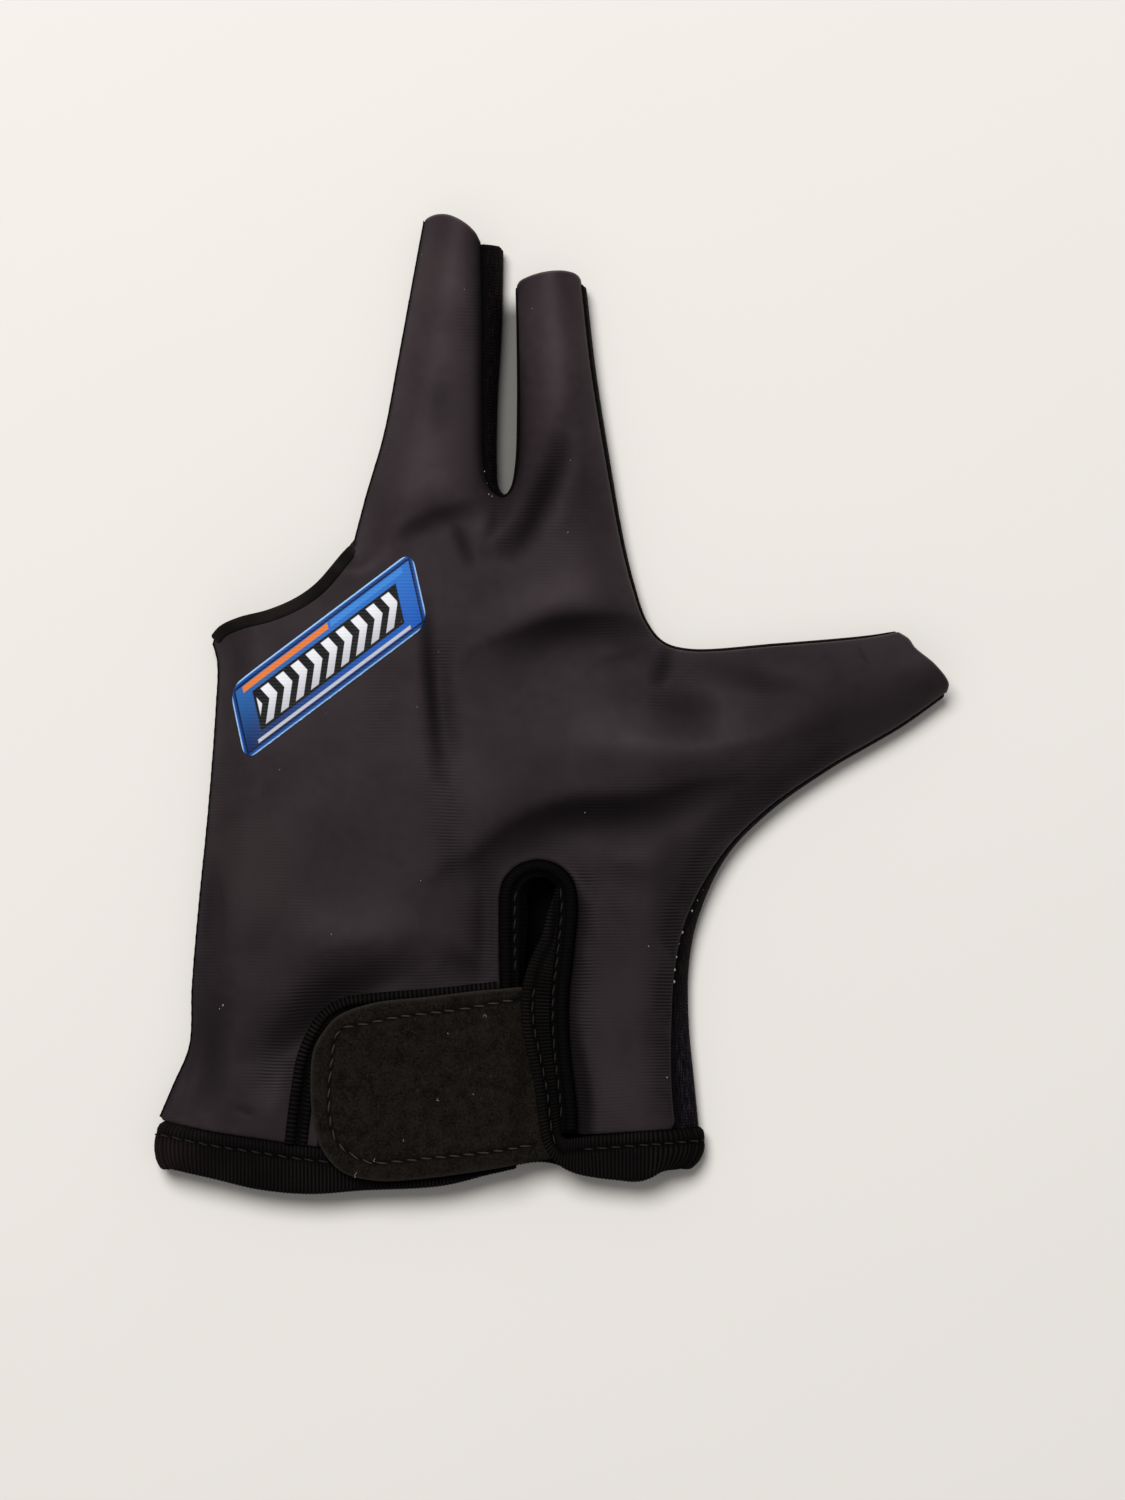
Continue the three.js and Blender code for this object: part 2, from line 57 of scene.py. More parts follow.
# side seams, clockwise from the left of the wrist: x, y, width of mesh that shows
littleSide = [
    (-86, -90.5, 0), (-83, -83.5, 0), (-79.5, -75, 0), (-78.9, -62, 0), (-77.4, -44, 0), (-75.4, -24, 0),
    (-73.7, -2, 0), (-73.3, 9.6, 0), (-74.3, 13.4, 0),
]
middleOuter = [
    (-43.5, 35, 0), (-40.6, 46, 0), (-36.7, 59.4, 0), (-33.7, 75, 0), (-30.1, 94.6, 0), (-27.9, 106.5, 0),
]
crotch = [
    (-10.6, 100.7, 4.7), (-11, 82.5, 4), (-11.9, 67, 3.1), (-12.1, 53, 2.5), (-11.7, 48, 1.7),
    (-10.2, 46.1, 0.5), (-8.8, 47.8, 0.3), (-7.8, 53, 0.4), (-7.4, 65, 0.4), (-7.5, 83, 0.3),
    (-7.7, 92.2, 0.1),
]
web = [
    (7.6, 92.4, 0.9), (9.7, 74, 0.9), (12.5, 56, 0.8), (16.1, 35.4, 0.6), (18.5, 25.7, 0.5),
    (21, 18.5, 0.4), (24.6, 14, 0.4), (30.3, 12.3, 0.4), (50, 13.5, 0.4), (69.7, 15.2, 0.3),
    (76.3, 16.2, 0.05),
]
thumbSide = [
    (86.9, 2.2, 0.4), (77.4, -4.6, 0.5), (60.9, -14.3, 0.6), (48, -23.5, 0.8), (38.5, -33.4, 1),
    (32.1, -47.5, 2.4), (30.2, -58, 2.9), (30.2, -70, 3.7), (31.4, -83, 4.9), (32.2, -91, 5),
]
ringEdge = [
    (-74.6, 15.4), (-72.5, 17.3), (-68.1, 19.1), (-61.8, 20.7), (-56.1, 23.1), (-51.7, 26.1), (-48, 30.1),
    (-43.5, 36.3),
]
middleTip = [
    (-27.8, 106.4), (-27.2, 106.9), (-26, 107.3), (-24.1, 107.4), (-21.9, 106.9), (-18.7, 105.2),
    (-16.5, 103.2), (-15.4, 101.2),
]
indexTip = [
    (-7.5, 92.3), (-6.8, 93.1), (-3.6, 94.2), (0.1, 94.8), (3.3, 94.9), (5.4, 94.5), (6.4, 93.7),
    (6.7, 92.6),
]
thumbTip = [(76.4, 16.1), (78.6, 14.4), (79.6, 12.6), (84.0, 8.8), (87.3, 4.6), (87.0, 2.8)]
# how far the back is raised above its seams, up the hand: y, height
crowns = [(-110, 3.6), (-90, 4.2), (-60, 5.6), (-20, 8.0), (25, 8.0), (60, 8.6), (110, 8.6)]
# soft folds in the back: points along it, half width (or its left and its right one), height (minus is a
# valley), and its painted shade (minus is a painted highlight)
folds = [
    ([(3, 61), (1.8, 55), (-0.2, 50), (-2.6, 44.5), (-5.4, 38.4), (-8.6, 34),
      (-13.5, 32.8)], (2.6, 2.8), -0.75, 1),
    ([(-12, 45.4), (-12.3, 40.8), (-13.8, 35.6)], 1.2, -0.3, 0.7),
    ([(-9.6, 43.5), (-10, 39.5), (-11.5, 36.2)], 1.3, 0.12, 0),
    ([(8.5, 55), (3.5, 46), (0.5, 36)], 4, 0.5, 0),
    ([(-13.7, 45.2), (-17.7, 42.8), (-25.1, 41.1), (-30.5, 38.1), (-34, 35.5)], (2.3, 1.5), -0.5, 0.75),
    ([(-16, 48.5), (-25, 46.5), (-35, 44)], 3, 0.4, 0),
    ([(-21.4, 41.4), (-19.8, 36.8), (-17.1, 29)], 1.4, -0.3, 0.65),
    ([(22.8, 16), (15.3, 17.9), (8.5, 17.9), (0.4, 17), (-7.6, 13.9), (-15, 11)], (4.8, 1.9), -1, 0.97),
    ([(18, 25.5), (4, 22.5), (-10, 18.5)], 4, 0.6, 0),
    ([(24.5, 14), (18, 12.8), (9, 10.5)], 1.8, 0.5, 0),
    ([(25.4, 13.4), (24.6, 8.5), (22.5, 3)], 1.6, -0.35, 0.75),
    ([(-27.3, 22), (-26.8, 11.2), (-26.1, 2.4), (-25.1, -7), (-24, -15)], 1.2, -0.3, 0.9),
    ([(-22.8, 10), (-22.2, 0), (-21, -10)], 1.2, -0.2, 0.3),
    ([(22, 3), (29, -1.5), (38, -1.5)], 4.6, -0.5, 0.5),
    ([(30.5, 9.4), (41.8, 6.4), (49.2, 4.2), (60, 3.6)], 3.2, -0.5, 0.62),
    ([(2, -9), (19.6, -9.5), (30.7, -10.2), (45.5, -7.3), (55.2, -2.8), (66, 1.5)], 5.6, 1.7, -0.07),
    ([(36, 4), (60, 1), (84, 8)], 9, 0, 0.46),
    ([(-22, -37), (-15.6, -34.7), (-11.6, -30.8), (-5.5, -26.8), (1.2, -24.1), (7.3, -23), (15, -22.6),
      (23, -21.6), (30.5, -19.4), (46, -17)], (2.4, 4.8), -1.5, 1),
    ([(22, -22.5), (30, -20), (40, -18)], 3.6, -0.2, 0.55),
    ([(26.5, -22), (27.5, -30), (25.5, -38), (24.5, -46)], 3, -0.4, 0.4),
    ([(12, -33.5), (19, -34.5), (24, -35)], 3, 0.4, -0.03),
    ([(36, -28), (44, -20.5), (58, -11.5), (72, -3)], 3, -0.5, 0.45),
    ([(67.1, 14.6), (68.5, 9.8), (70.4, 7)], 0.45, -0.15, 0.5),
    ([(-14.4, -36), (-14.2, -46), (-15, -60)], 2.2, -0.7, 0.15),
    ([(-60, -47.5), (-52, -50.5), (-40, -52.5), (-26, -49)], 7.5, 1.2, -0.08),
    ([(-70, -24), (-64, -32), (-52, -36)], 14, 0, -0.11),
    ([(-32, -58.6), (-40, -61.2), (-46.8, -63.6), (-52.4, -68.6), (-57.6, -73.4),
      (-64, -77)], (2.2, 4.4), -1.1, 1),
    ([(-24, -55), (-19, -57.5), (-14, -60.5)], 2.6, -0.5, 0.45),
    ([(-73, -62), (-74.4, -72), (-74.5, -84), (-77, -91)], 3, -0.9, 0.5),
    ([(-62, -92), (-60, -85), (-58.6, -78.5)], 2.6, 0.5, -0.07),
    ([(-82.5, -90.5), (-81, -84), (-78.5, -77)], 1.8, 0.5, -0.09),
    ([(-74, -36), (-74.2, -44), (-75, -58)], 1.8, -0.3, 0.2),
    ([(-69, -88.2), (-67, -89), (-65, -89.6)], 0.5, -0.25, 0.5),
    ([(-24, 71), (-24, 64), (-23, 58)], 3, -0.3, 0.3),
    ([(5.4, -76), (7, -82), (7.7, -87), (7.9, -92), (8.2, -97)], (1.3, 1.6), -0.35, 0.97),
    ([(12, -50), (13, -66)], 7, 0, 0.09),
    ([(17, -72), (18, -90)], 6, 0, -0.05),
    ([(-34, -8), (-12, -12)], 8, 0, -0.07),
    ([(-24, 103), (-27, 86)], 7, 0, -0.12),
    ([(-1, 95), (3, 70)], 7, 0, -0.1),
    ([(-26, 33), (-14, 31), (0, 30)], 6, 0, 0.15),
    ([(-11.8, 47.5), (-10.3, 44), (-12.4, 37.5)], 2.7, 0, 0.55),
]

# where the cloth is pulled so that its ribs show: points along it, half width, strength
ribbedPlaces = [
    ([(-14.5, -33), (-15, -60)], 4.5, 0.7),
    ([(-12, -40), (-6, -31), (3, -32)], 2.5, 0.35),
    ([(6.5, -40), (4.8, -62), (4.4, -78), (6.4, -95)], 4.2, 1.35),
    ([(15, -37), (12, -50)], 5.5, 0.5),
    ([(34.5, -35.5), (29, -46), (27, -58), (27, -84)], 4.6, 1.7),
    ([(32, -34), (45, -22), (60, -12)], 5, 0.7),
    ([(-46, -61), (-55, -67), (-59.5, -80)], 5.5, 1.25),
    ([(-38, -57.5), (-16, -57.5)], 3.5, 0.6),
    ([(-75.5, -14), (-78, -60)], 5, 0.45),
    ([(-24.5, 12), (-24, -14), (-21, -36)], 3.4, 0.7),
    ([(-12.5, 44), (-10, 36)], 2, 0.6),
    ([(-8, 38), (-2, 47), (1.5, 56)], 2.2, 0.6),
    ([(10, 17), (22, 15)], 2.6, 0.35),
    ([(25, 12), (23.5, 1)], 2.4, 0.5),
    ([(8, -22), (34, -18), (50, -12)], 4, 0.4),
]


def runOf(line):  # how far along a line each of its points lies, seen from above
    return np.concatenate([[0], np.cumsum(np.hypot(*np.diff(line[:, :2], axis=0).T))])


def runInSpace(line):
    return np.concatenate([[0], np.cumsum(np.linalg.norm(np.diff(line, axis=0), axis=1))])


def respaced(line, step):
    run = runOf(line)
    at = np.linspace(0, run[-1], max(2, round(run[-1] / step) + 1))
    return np.column_stack([np.interp(at, run, column) for column in line.T])


def curveThrough(rows, step):  # a smooth curve through a table's rows, evenly spaced
    p = np.array(rows, float)
    p = np.vstack([2 * p[0] - p[1], p, 2 * p[-1] - p[-2]])
    t = np.linspace(0, 1, 30, endpoint=False)[:, None]
    parts = []
    for a, b, c, d in zip(p[:-3], p[1:-2], p[2:-1], p[3:]):
        k0, k1, k2 = (max(math.hypot(*(v - u)[:2]), 1e-3) ** 0.5 for u, v in ((a, b), (b, c), (c, d)))
        m1 = ((b - a) / k0 - (c - a) / (k0 + k1) + (c - b) / k1) * k1
        m2 = ((c - b) / k1 - (d - b) / (k1 + k2) + (d - c) / k2) * k1
        parts.append(
            (2 * t**3 - 3 * t**2 + 1) * b + (t**3 - 2 * t**2 + t) * m1
            + (3 * t**2 - 2 * t**3) * c + (t**3 - t**2) * m2
        )
    return respaced(np.vstack(parts + [p[-2][None]]), step)


def tangents(line, closed=False):
    ring = np.vstack([line[-1:], line, line[:1]]) if closed else line
    along = np.gradient(ring[:, :2], axis=0)
    along = along[1:-1] if closed else along
    return along / np.maximum(np.linalg.norm(along, axis=1, keepdims=True), 1e-9)


def inset(line, distance, closed=False):  # a line moved to its right, inward on the outline
    along = tangents(line, closed)
    moved = line.copy()
    moved[:, 0] += along[:, 1] * distance
    moved[:, 1] -= along[:, 0] * distance
    return moved


def extended(line, before, after):
    first, last = line[0] - line[1], line[-1] - line[-2]
    start = line[0] + first * before / np.linalg.norm(first[:2])
    end = line[-1] + last * after / np.linalg.norm(last[:2])
    return np.vstack([start, line, end])


seamLines = [curveThrough(rows, 1.0) for rows in (littleSide, middleOuter, crotch, web, thumbSide)]
littleLine, middleLine, crotchLine, webLine, thumbLine = seamLines
reaches = [(30, 10), (0.1, 12), (12, 12), (12, 12), (12, 30)]  # past the open mouths
seamPoints = np.vstack([
    respaced(extended(line, *reach)[:, :2], glove["seamStep"])
    for line, reach in zip(seamLines, reaches)
])


def smooth(t):
    t = np.clip(t, 0, 1)
    return t * t * (3 - 2 * t)


def seamDistance(points):  # a smooth distance to the side seams
    total = np.zeros(len(points))
    for start in range(0, len(points), 4000):
        part = points[start : start + 4000]
        squared = ((part[:, None, :2] - seamPoints[None]) ** 2).sum(2) + 0.05
        total[start : start + 4000] = (glove["seamStep"] / squared**1.5).sum(1)
    return np.sqrt(2 / total)


def lineDistance(points, line):  # distance to a line, how far along it, and how far to its left
    best = np.full(len(points), 1e9)
    where, side = np.zeros(len(points)), np.zeros(len(points))
    for i, (a, b) in enumerate(zip(line[:-1, :2], line[1:, :2])):
        ab = b - a
        t = np.clip(((points[:, :2] - a) @ ab) / max(ab @ ab, 1e-9), 0, 1)
        away = np.hypot(*(points[:, :2] - a - t[:, None] * ab).T)
        closer = away < best
        best[closer] = away[closer]
        where[closer] = (i + t[closer]) / (len(line) - 1)
        offset = (points[closer, :2] - a) / np.hypot(*ab)
        side[closer] = ab[0] * offset[:, 1] - ab[1] * offset[:, 0]
    return best, where, side


def bell(away, width):  # 1 at no distance, easing to 0 beyond the width
    return np.exp(-((away / width) ** 2))


foldStrength = {"height": 1.35, "spread": 1.35}
foldLines = [(respaced(curveThrough(points, 0.5), 2.5), *rest) for points, *rest in folds]


def foldField(points):  # height of the folds, and their painted shade and highlight
    height, dark, pale = np.zeros((3, len(points)))
    for line, width, rise, shade in foldLines:
        left, right = width if isinstance(width, tuple) else (width, width)
        away, where, side = lineDistance(points, line)
        fade = np.sin(math.pi * np.clip(where, 0.03, 0.97)) ** 0.55
        reach = right + (left - right) * smooth(side / left + 0.5)
        shape = fade * bell(away, reach)
        height += foldStrength["height"] * rise * shape
        tone = shade * fade * bell(away / reach, foldStrength["spread"])
        dark, pale = (np.maximum(dark, tone), pale) if shade > 0 else (dark, np.minimum(pale, tone))
    return height, dark + pale


def pullOf(points):
    pull = np.zeros(len(points))
    for line, width, strength in ribbedPlaces:
        away = lineDistance(points, np.array(line))[0]
        pull = np.maximum(pull, strength * bell(away, width))
    return pull


waves = [(rng.uniform(0.03, 0.16), rng.uniform(0, math.tau), rng.uniform(0, math.tau)) for _ in range(9)]


def unevenness(points):  # the cloth never lies quite even
    total = np.zeros(len(points))
    for rate, turn, phase in waves:
        total += np.sin((points[:, 0] * math.cos(turn) + points[:, 1] * math.sin(turn)) * rate * 3 + phase)
    return total / len(waves)


crownCurve = curveThrough(crowns, 1.0).T


def crown(points):  # the share of the way in from the seams, and how far the back is raised there
    t = np.minimum(seamDistance(points) / glove["domeReach"], 1)
    return t, np.interp(points[:, 1], *crownCurve) * (t * (2 - t)) ** 0.85


def backTop(points):  # height of the glove's upper surface
    t, rise = crown(points)
    shaped = rise + foldField(points)[0] * smooth(t * 2.2)
    return glove["edgeHeight"] + shaped + glove["uneven"] * unevenness(points) * smooth(t * 2)


def insidePolygon(points, polygon):
    inside = np.zeros(len(points), bool)
    x, y = points[:, 0], points[:, 1]
    for a, b in zip(polygon, np.roll(polygon, -1, axis=0)):
        if a[1] != b[1]:
            crosses = (a[1] > y) != (b[1] > y)
            inside ^= crosses & (x < a[0] + (y - a[1]) * (b[0] - a[0]) / (b[1] - a[1]))
    return inside


sheet = {"rowShare": 0.866, "jitter": 0.12, "tolerance": 1e-4}


def cutSheet(outline, spacing, roundAt=(0, 0.18, 0.55)):
    # a flat cloth piece cut to an outline: even triangles inside, with fine rows at its edge
    low, high = outline[:, :2].min(0), outline[:, :2].max(0)

    def gridRow(i, y):
        x = np.arange(low[0] + (i % 2) * spacing / 2, high[0], spacing)
        return np.column_stack([x, np.full(len(x), y)])

    heights = np.arange(low[1], high[1], spacing * sheet["rowShare"])
    grid = np.vstack([gridRow(i, y) for i, y in enumerate(heights)])
    grid += rng.uniform(-sheet["jitter"], sheet["jitter"], grid.shape) * spacing
    extra = np.vstack([grid] + [inset(outline, away, True)[:, :2] for away in roundAt[1:]])
    isRim = np.arange(len(extra)) >= len(grid)
    keep = insidePolygon(extra, outline)
    extra, isRim = extra[keep], isRim[keep]
    least = np.where(isRim, min(roundAt[1:]) * 0.7, spacing * 0.5 + roundAt[-1] * 0.6)
    flat = np.vstack([outline[:, :2], extra[edgeDistance(extra, [outline]) > least]])
    edges = [(i, (i + 1) % len(outline)) for i in range(len(outline))]
    points, _, faces, *_ = delaunay_2d_cdt([Vector(p) for p in flat], edges, [], 0, sheet["tolerance"])
    points, faces = np.array([(p.x, p.y) for p in points]), np.array(faces)
    faces = faces[insidePolygon(points[faces].mean(1), outline)]
    used, packed = np.unique(faces, return_inverse=True)
    points, faces = points[used], packed.reshape(faces.shape)
    return points, faces, edgeDistance(points, [outline])


def edgeDistance(points, lines, closed=True):
    rings = [np.vstack([line, line[:1]]) if closed else line for line in lines]
    dense = np.vstack([respaced(ring[:, :2], glove["searchStep"]) for ring in rings])
    tree = KDTree(len(dense))
    for i, p in enumerate(dense):
        tree.insert((p[0], p[1], 0), i)
    tree.balance()
    return np.array([tree.find((x, y, 0))[2] for x, y in points[:, :2]])


def thick(points, faces, upper, lower):  # a closed skin over a cut sheet
    count = len(points)
    solid = np.vstack([np.column_stack([points, upper]), np.column_stack([points, lower])])
    pairs = np.vstack([faces[:, [0, 1]], faces[:, [1, 2]], faces[:, [2, 0]]])
    keys = pairs.min(1) * count + pairs.max(1)
    _, first, uses = np.unique(keys, return_index=True, return_counts=True)
    rim = pairs[first[uses == 1]]
    sides = [(b, a, a + count, b + count) for a, b in rim.tolist()]
    return solid, faces.tolist() + (faces[:, ::-1] + count).tolist() + sides


def rounded(away, radius):  # how much an edge drops as it rolls over
    t = np.clip(1 - away / radius, 0, 1)
    return radius * (1 - np.sqrt(1 - t * t))


def gridSkin(grid, closedAlong=False):  # a closed skin; each row of the grid is a ring
    n, m = grid.shape[:2]
    faces = []
    for i in range(n if closedAlong else n - 1):
        k = (i + 1) % n
        for j in range(m):
            q = (j + 1) % m
            faces.append((i * m + j, i * m + q, k * m + q, k * m + j))
    if not closedAlong:
        faces.append(tuple(range(m))[::-1])
        faces.append(tuple(range((n - 1) * m, n * m)))
    return grid.reshape(-1, 3), faces


def unit(vectors):
    return vectors / np.maximum(np.linalg.norm(vectors, axis=-1, keepdims=True), 1e-9)


def gridNormals(grid, closedAlong=False):
    ring = np.concatenate([grid[-1:], grid, grid[:1]]) if closedAlong else grid
    down = np.gradient(ring, axis=0)
    down = down[1:-1] if closedAlong else down
    return unit(np.cross(down, np.gradient(grid, axis=1)))


def bandSkin(grid, thickness, ribs, closedAlong=False, groove=None, inside=1):
    # a tape folded over an edge: grid is its middle, with the fold at the last column
    normal = gridNormals(grid, closedAlong) * inside
    out = unit(grid[:, -1] - grid[:, -2])
    run = runInSpace(grid[:, -1])
    if closedAlong:
        run *= round(run[-1] / ribs["pitch"]) * ribs["pitch"] / run[-1]
    wave = np.cos(math.tau * run / ribs["pitch"])
    rib = ribs["depth"] * wave[:, None, None]
    half = np.full((len(grid), 1), 1.0) * np.reshape(thickness, (-1, 1)) / 2
    width = np.linalg.norm(grid[:, -1] - grid[:, 0], axis=1)[:, None]
    fromEdge = np.linspace(0, 1, grid.shape[1])[None] * width
    lift = half - half * 0.5 * bell(fromEdge, 0.35)
    # painted highlight on the rib crests, painted shade in the troughs
    shade = wave[:, None] * np.ones_like(lift)
    if groove:
        depth = bell(fromEdge - np.reshape(groove["at"], (-1, 1)), groove["width"])
        lift = lift - groove["depth"] * depth
        # painted shade in the groove along the stitches
        shade = shade - 1.6 * depth
    outer = grid + normal * (lift[..., None] + rib)
    fold = [
        grid[:, -1:] + (normal[:, -1:] * math.cos(a) + out[:, None] * math.sin(a)) * (half[..., None] + rib)
        for a in np.radians([30, 60, 90, 120, 150])
    ]
    inner = (grid - normal * half[..., None])[:, ::-1]
    around = np.concatenate([outer, *fold, inner], axis=1)
    shade = np.concatenate([shade, np.repeat(wave[:, None], 5, 1), 0 * shade], axis=1)
    return (*gridSkin(around, closedAlong), shade.ravel()), outer, normal


def rollTop(a, ribs):  # height of a rolled tape over the back, a millimetres in from its outer edge
    half = ribs["roll"] / 2
    turn = np.clip((a - half) / half, -1, 1)
    groove = ribs["grooveDepth"] * bell(a - ribs["seamIn"], 0.4)
    return ribs["proud"] + ribs["rollHeight"] * np.sqrt(1 - turn**2) - groove


def rolledStrip(outer, inner, stops, height, ribs):
    # a tape lying on the back between two lines; its height is a function of the way in
    wide = np.linalg.norm(inner - outer, axis=1)
    across = (inner - outer) / wide[:, None]
    wave = np.cos(math.tau * runOf(outer) / ribs["pitch"])
    top, low, shades = [], [], []
    for stop in stops:
        a = np.minimum(stop, wide) if np.ndim(stop) else np.full(len(wide), float(stop))
        p = outer + across * a[:, None]
        z = backTop(p) + height(a)
        top.append(np.column_stack([p, z + ribs["depth"] * wave]))
        low.append(np.column_stack([p, z - ribs["thickness"]]))
        # painted highlight on rib crests, painted shade in the troughs and in the groove along the stitches
        shades.append(wave - 1.8 * bell(a - ribs["seamIn"], 0.35))
    low = low[::-3] + ([] if len(low) % 3 == 1 else [low[0]])
    points, faces = gridSkin(np.stack(top + low, axis=1))
    shade = np.stack(shades + [wave * 0] * len(low), axis=1).ravel()
    return points, faces, shade


def joinedSkins(skins):
    points, faces, start = [], [], 0
    for p, f in skins:
        points.append(np.asarray(p))
        faces += [tuple(i + start for i in face) for face in f]
        start += len(p)
    return np.vstack(points), faces


def tube(centre, side, up, girth, corners):
    turn = np.linspace(0, math.tau, corners + 1)[:-1]
    ring = side[:, None] * np.cos(turn)[None, :, None] + up[:, None] * np.sin(turn)[None, :, None]
    return gridSkin(centre[:, None] + ring * girth)


def bead(centre, up, radius, sink, slant):  # one stitch along seven points; its ends dip into the cloth
    t = np.linspace(0, 1, 7)
    along = unit(np.gradient(centre, axis=0))
    side = unit(np.cross(along, up))
    bow = np.sin(math.pi * t)
    centre = centre + up * (bow * (radius * 0.9) - sink)[:, None] + side * ((t - 0.5) * slant)[:, None]
    girth = radius * np.clip(bow, 0.28, 1) ** 0.5
    return tube(centre, side, up, girth[:, None, None], 6)


def stitchRow(line, ups, pitch=3.0, length=2.25, radius=0.21, sink=0.08, slant=0.28):
    run = runInSpace(line)
    skins = []
    for at in np.arange(pitch * 0.3, run[-1] - length, pitch):
        at += rng.uniform(-0.12, 0.12)
        s = at + length * rng.uniform(0.9, 1.08) * np.linspace(0, 1, 7)
        centre = np.column_stack([np.interp(s, run, c) for c in line.T])
        up = unit(np.column_stack([np.interp(s, run, c) for c in ups.T]))
        skins.append(bead(centre, up, radius, sink, slant))
    return joinedSkins(skins)


# the cuff's tape: x, its upper edge and its lower edge
cuffTable = [
    (-86, -91.2, -101.4), (-75, -93.5, -103.6), (-64, -95.2, -106.2), (-53, -96.8, -107.2),
    (-41, -97.6, -106.4), (-24, -97.4, -105.4), (-12, -96.2, -102.6), (-2, -94.8, -100.9),
    (8, -94.3, -103.4), (19, -93.6, -104.5), (22.5, -93.4, -103.6), (26, -93.2, -102.4),
    (30.5, -93, -102),
]
cuffTop = curveThrough([(x, top) for x, top, _ in cuffTable] + [(32.9, -92.8)], 0.5)
cuffBottom = curveThrough([(x, bottom) for x, _, bottom in cuffTable], 0.5)

# the slit's tape: y, then the x of its outer left, inner left, inner right and outer right
slitTable = [
    (-93.7, -11, -7, 1.95, 5.7), (-87, -11, -7, 1.65, 5.4), (-77, -11, -6.8, 0.45, 4.2),
    (-69, -11, -6.6, -0.05, 3.7), (-62, -11, -6.1, 0.15, 3.9), (-57, -11.1, -5.7, 0.75, 4.5),
    (-52, -11.2, -5.3, 1.25, 5), (-46, -11.2, -5, 1.85, 5.6), (-42, -11.1, -5.2, 1.85, 5.6),
]
slit = {
    "rise": 8.0, "innerRise": 4.4, "thickness": 1.1, "roll": 2.5, "rollHeight": 1.05, "seamIn": 3.3,
    "pitch": 0.85, "depth": 0.09, "proud": 0.22, "grooveDepth": 0.3, "dip": 2.1, "closing": 1.3,
    "flat": 3.75,
}


def slitPairs():  # outer and inner edge of the slit's tape, side by side
    left = [(ol, y, il, y) for y, ol, il, _, _ in slitTable]
    right = [(orr, y, ir, y) for y, _, _, ir, orr in slitTable][::-1]
    y, ol, il, ir, orr = slitTable[-1]
    arch = []
    for turn in np.linspace(math.pi, 0, 11)[1:-1]:
        c, s = math.cos(turn), math.sin(turn)
        arch.append((
            (ol + orr) / 2 + (orr - ol) / 2 * c, y + slit["rise"] * s,
            (il + ir) / 2 + (ir - il) / 2 * c, y + slit["innerRise"] * s,
        ))
    return left + arch + right


slitCurve = curveThrough(slitPairs(), 0.21)
slitOutline = respaced(slitCurve[:, :2], 1.0)

# the roll in the back along the mesh between the fingers
roll = {"radius": 1.9, "low": 44.0, "edges": inset(crotchLine, crotchLine[:, 2])[:, :2]}


def clothTop(points):  # the back's surface, with its edge rolled down beside that mesh
    onRight = smooth((points[:, 0] + 9.5) / 1.5)
    size = roll["radius"] * (1 - onRight * (0.2 + 0.6 * smooth((points[:, 1] - 62) / 22)))
    near = (points[:, 1] > roll["low"] - 3) & (np.abs(points[:, 0] + 10) < 14)
    away = np.full(len(points), 9.0)
    away[near] = edgeDistance(points[near], [roll["edges"]], False)
    fade = smooth((points[:, 1] - roll["low"]) / 6)
    return backTop(points) - rounded(away, size) * fade


def aboveCuff(line):
    return line[line[:, 1] > np.interp(line[:, 0], *cuffTop.T) + 0.5]


def panelOutline(move, meshShare, tipShort, plain, slitCut=None):
    step = glove["outlineStep"]
    edge = lambda line: respaced(inset(line, move + line[:, 2] * meshShare)[:, :2], step)
    side = lambda line: respaced(inset(line, plain)[:, :2], step)  # a side seam without mesh
    tip = lambda rows: inset(curveThrough(rows, step), tipShort)[:, :2]
    left, right = aboveCuff(side(littleLine)), aboveCuff(edge(thumbLine))
    wrist = respaced(cuffTop[::-1], step) + [0, 0.12]  # stops just short of the cuff
    wrist = wrist[(wrist[:, 0] > left[0, 0] + 0.5) & (wrist[:, 0] < right[-1, 0] - 0.5)]
    if slitCut is not None:
        slitCut = aboveCuff(slitCut)
        before, after = wrist[:, 0] > slitCut[0, 0] + 0.3, wrist[:, 0] < slitCut[-1, 0] - 0.3
        wrist = np.vstack([wrist[before], slitCut, wrist[after]])
    ring = curveThrough(ringEdge, step)
    deeper, shallower = smooth((ring[:, 0] + 75.6) / 2.8), smooth((ring[:, 0] + 46.0) / 2.6)
    ring = inset(ring, 1.85 * deeper - 1.75 * shallower)[:, :2]
    ring = ring[(ring[:, 0] > left[-1, 0] - 0.1) & (ring[:, 1] > left[-1, 1] - 3)]
    left = left[left[:, 1] < ring[0, 1] - 0.2]
    return np.vstack([
        left, ring, side(middleLine), tip(middleTip),
        edge(crotchLine), tip(indexTip), edge(webLine), tip(thumbTip), right, wrist,
    ])


def cleaned(loop, least=0.35):  # drops points that crowd their neighbour
    kept = [loop[0]]
    for p in loop[1:]:
        if np.hypot(*(p - kept[-1])[:2]) > least:
            kept.append(p)
    return np.array(kept)


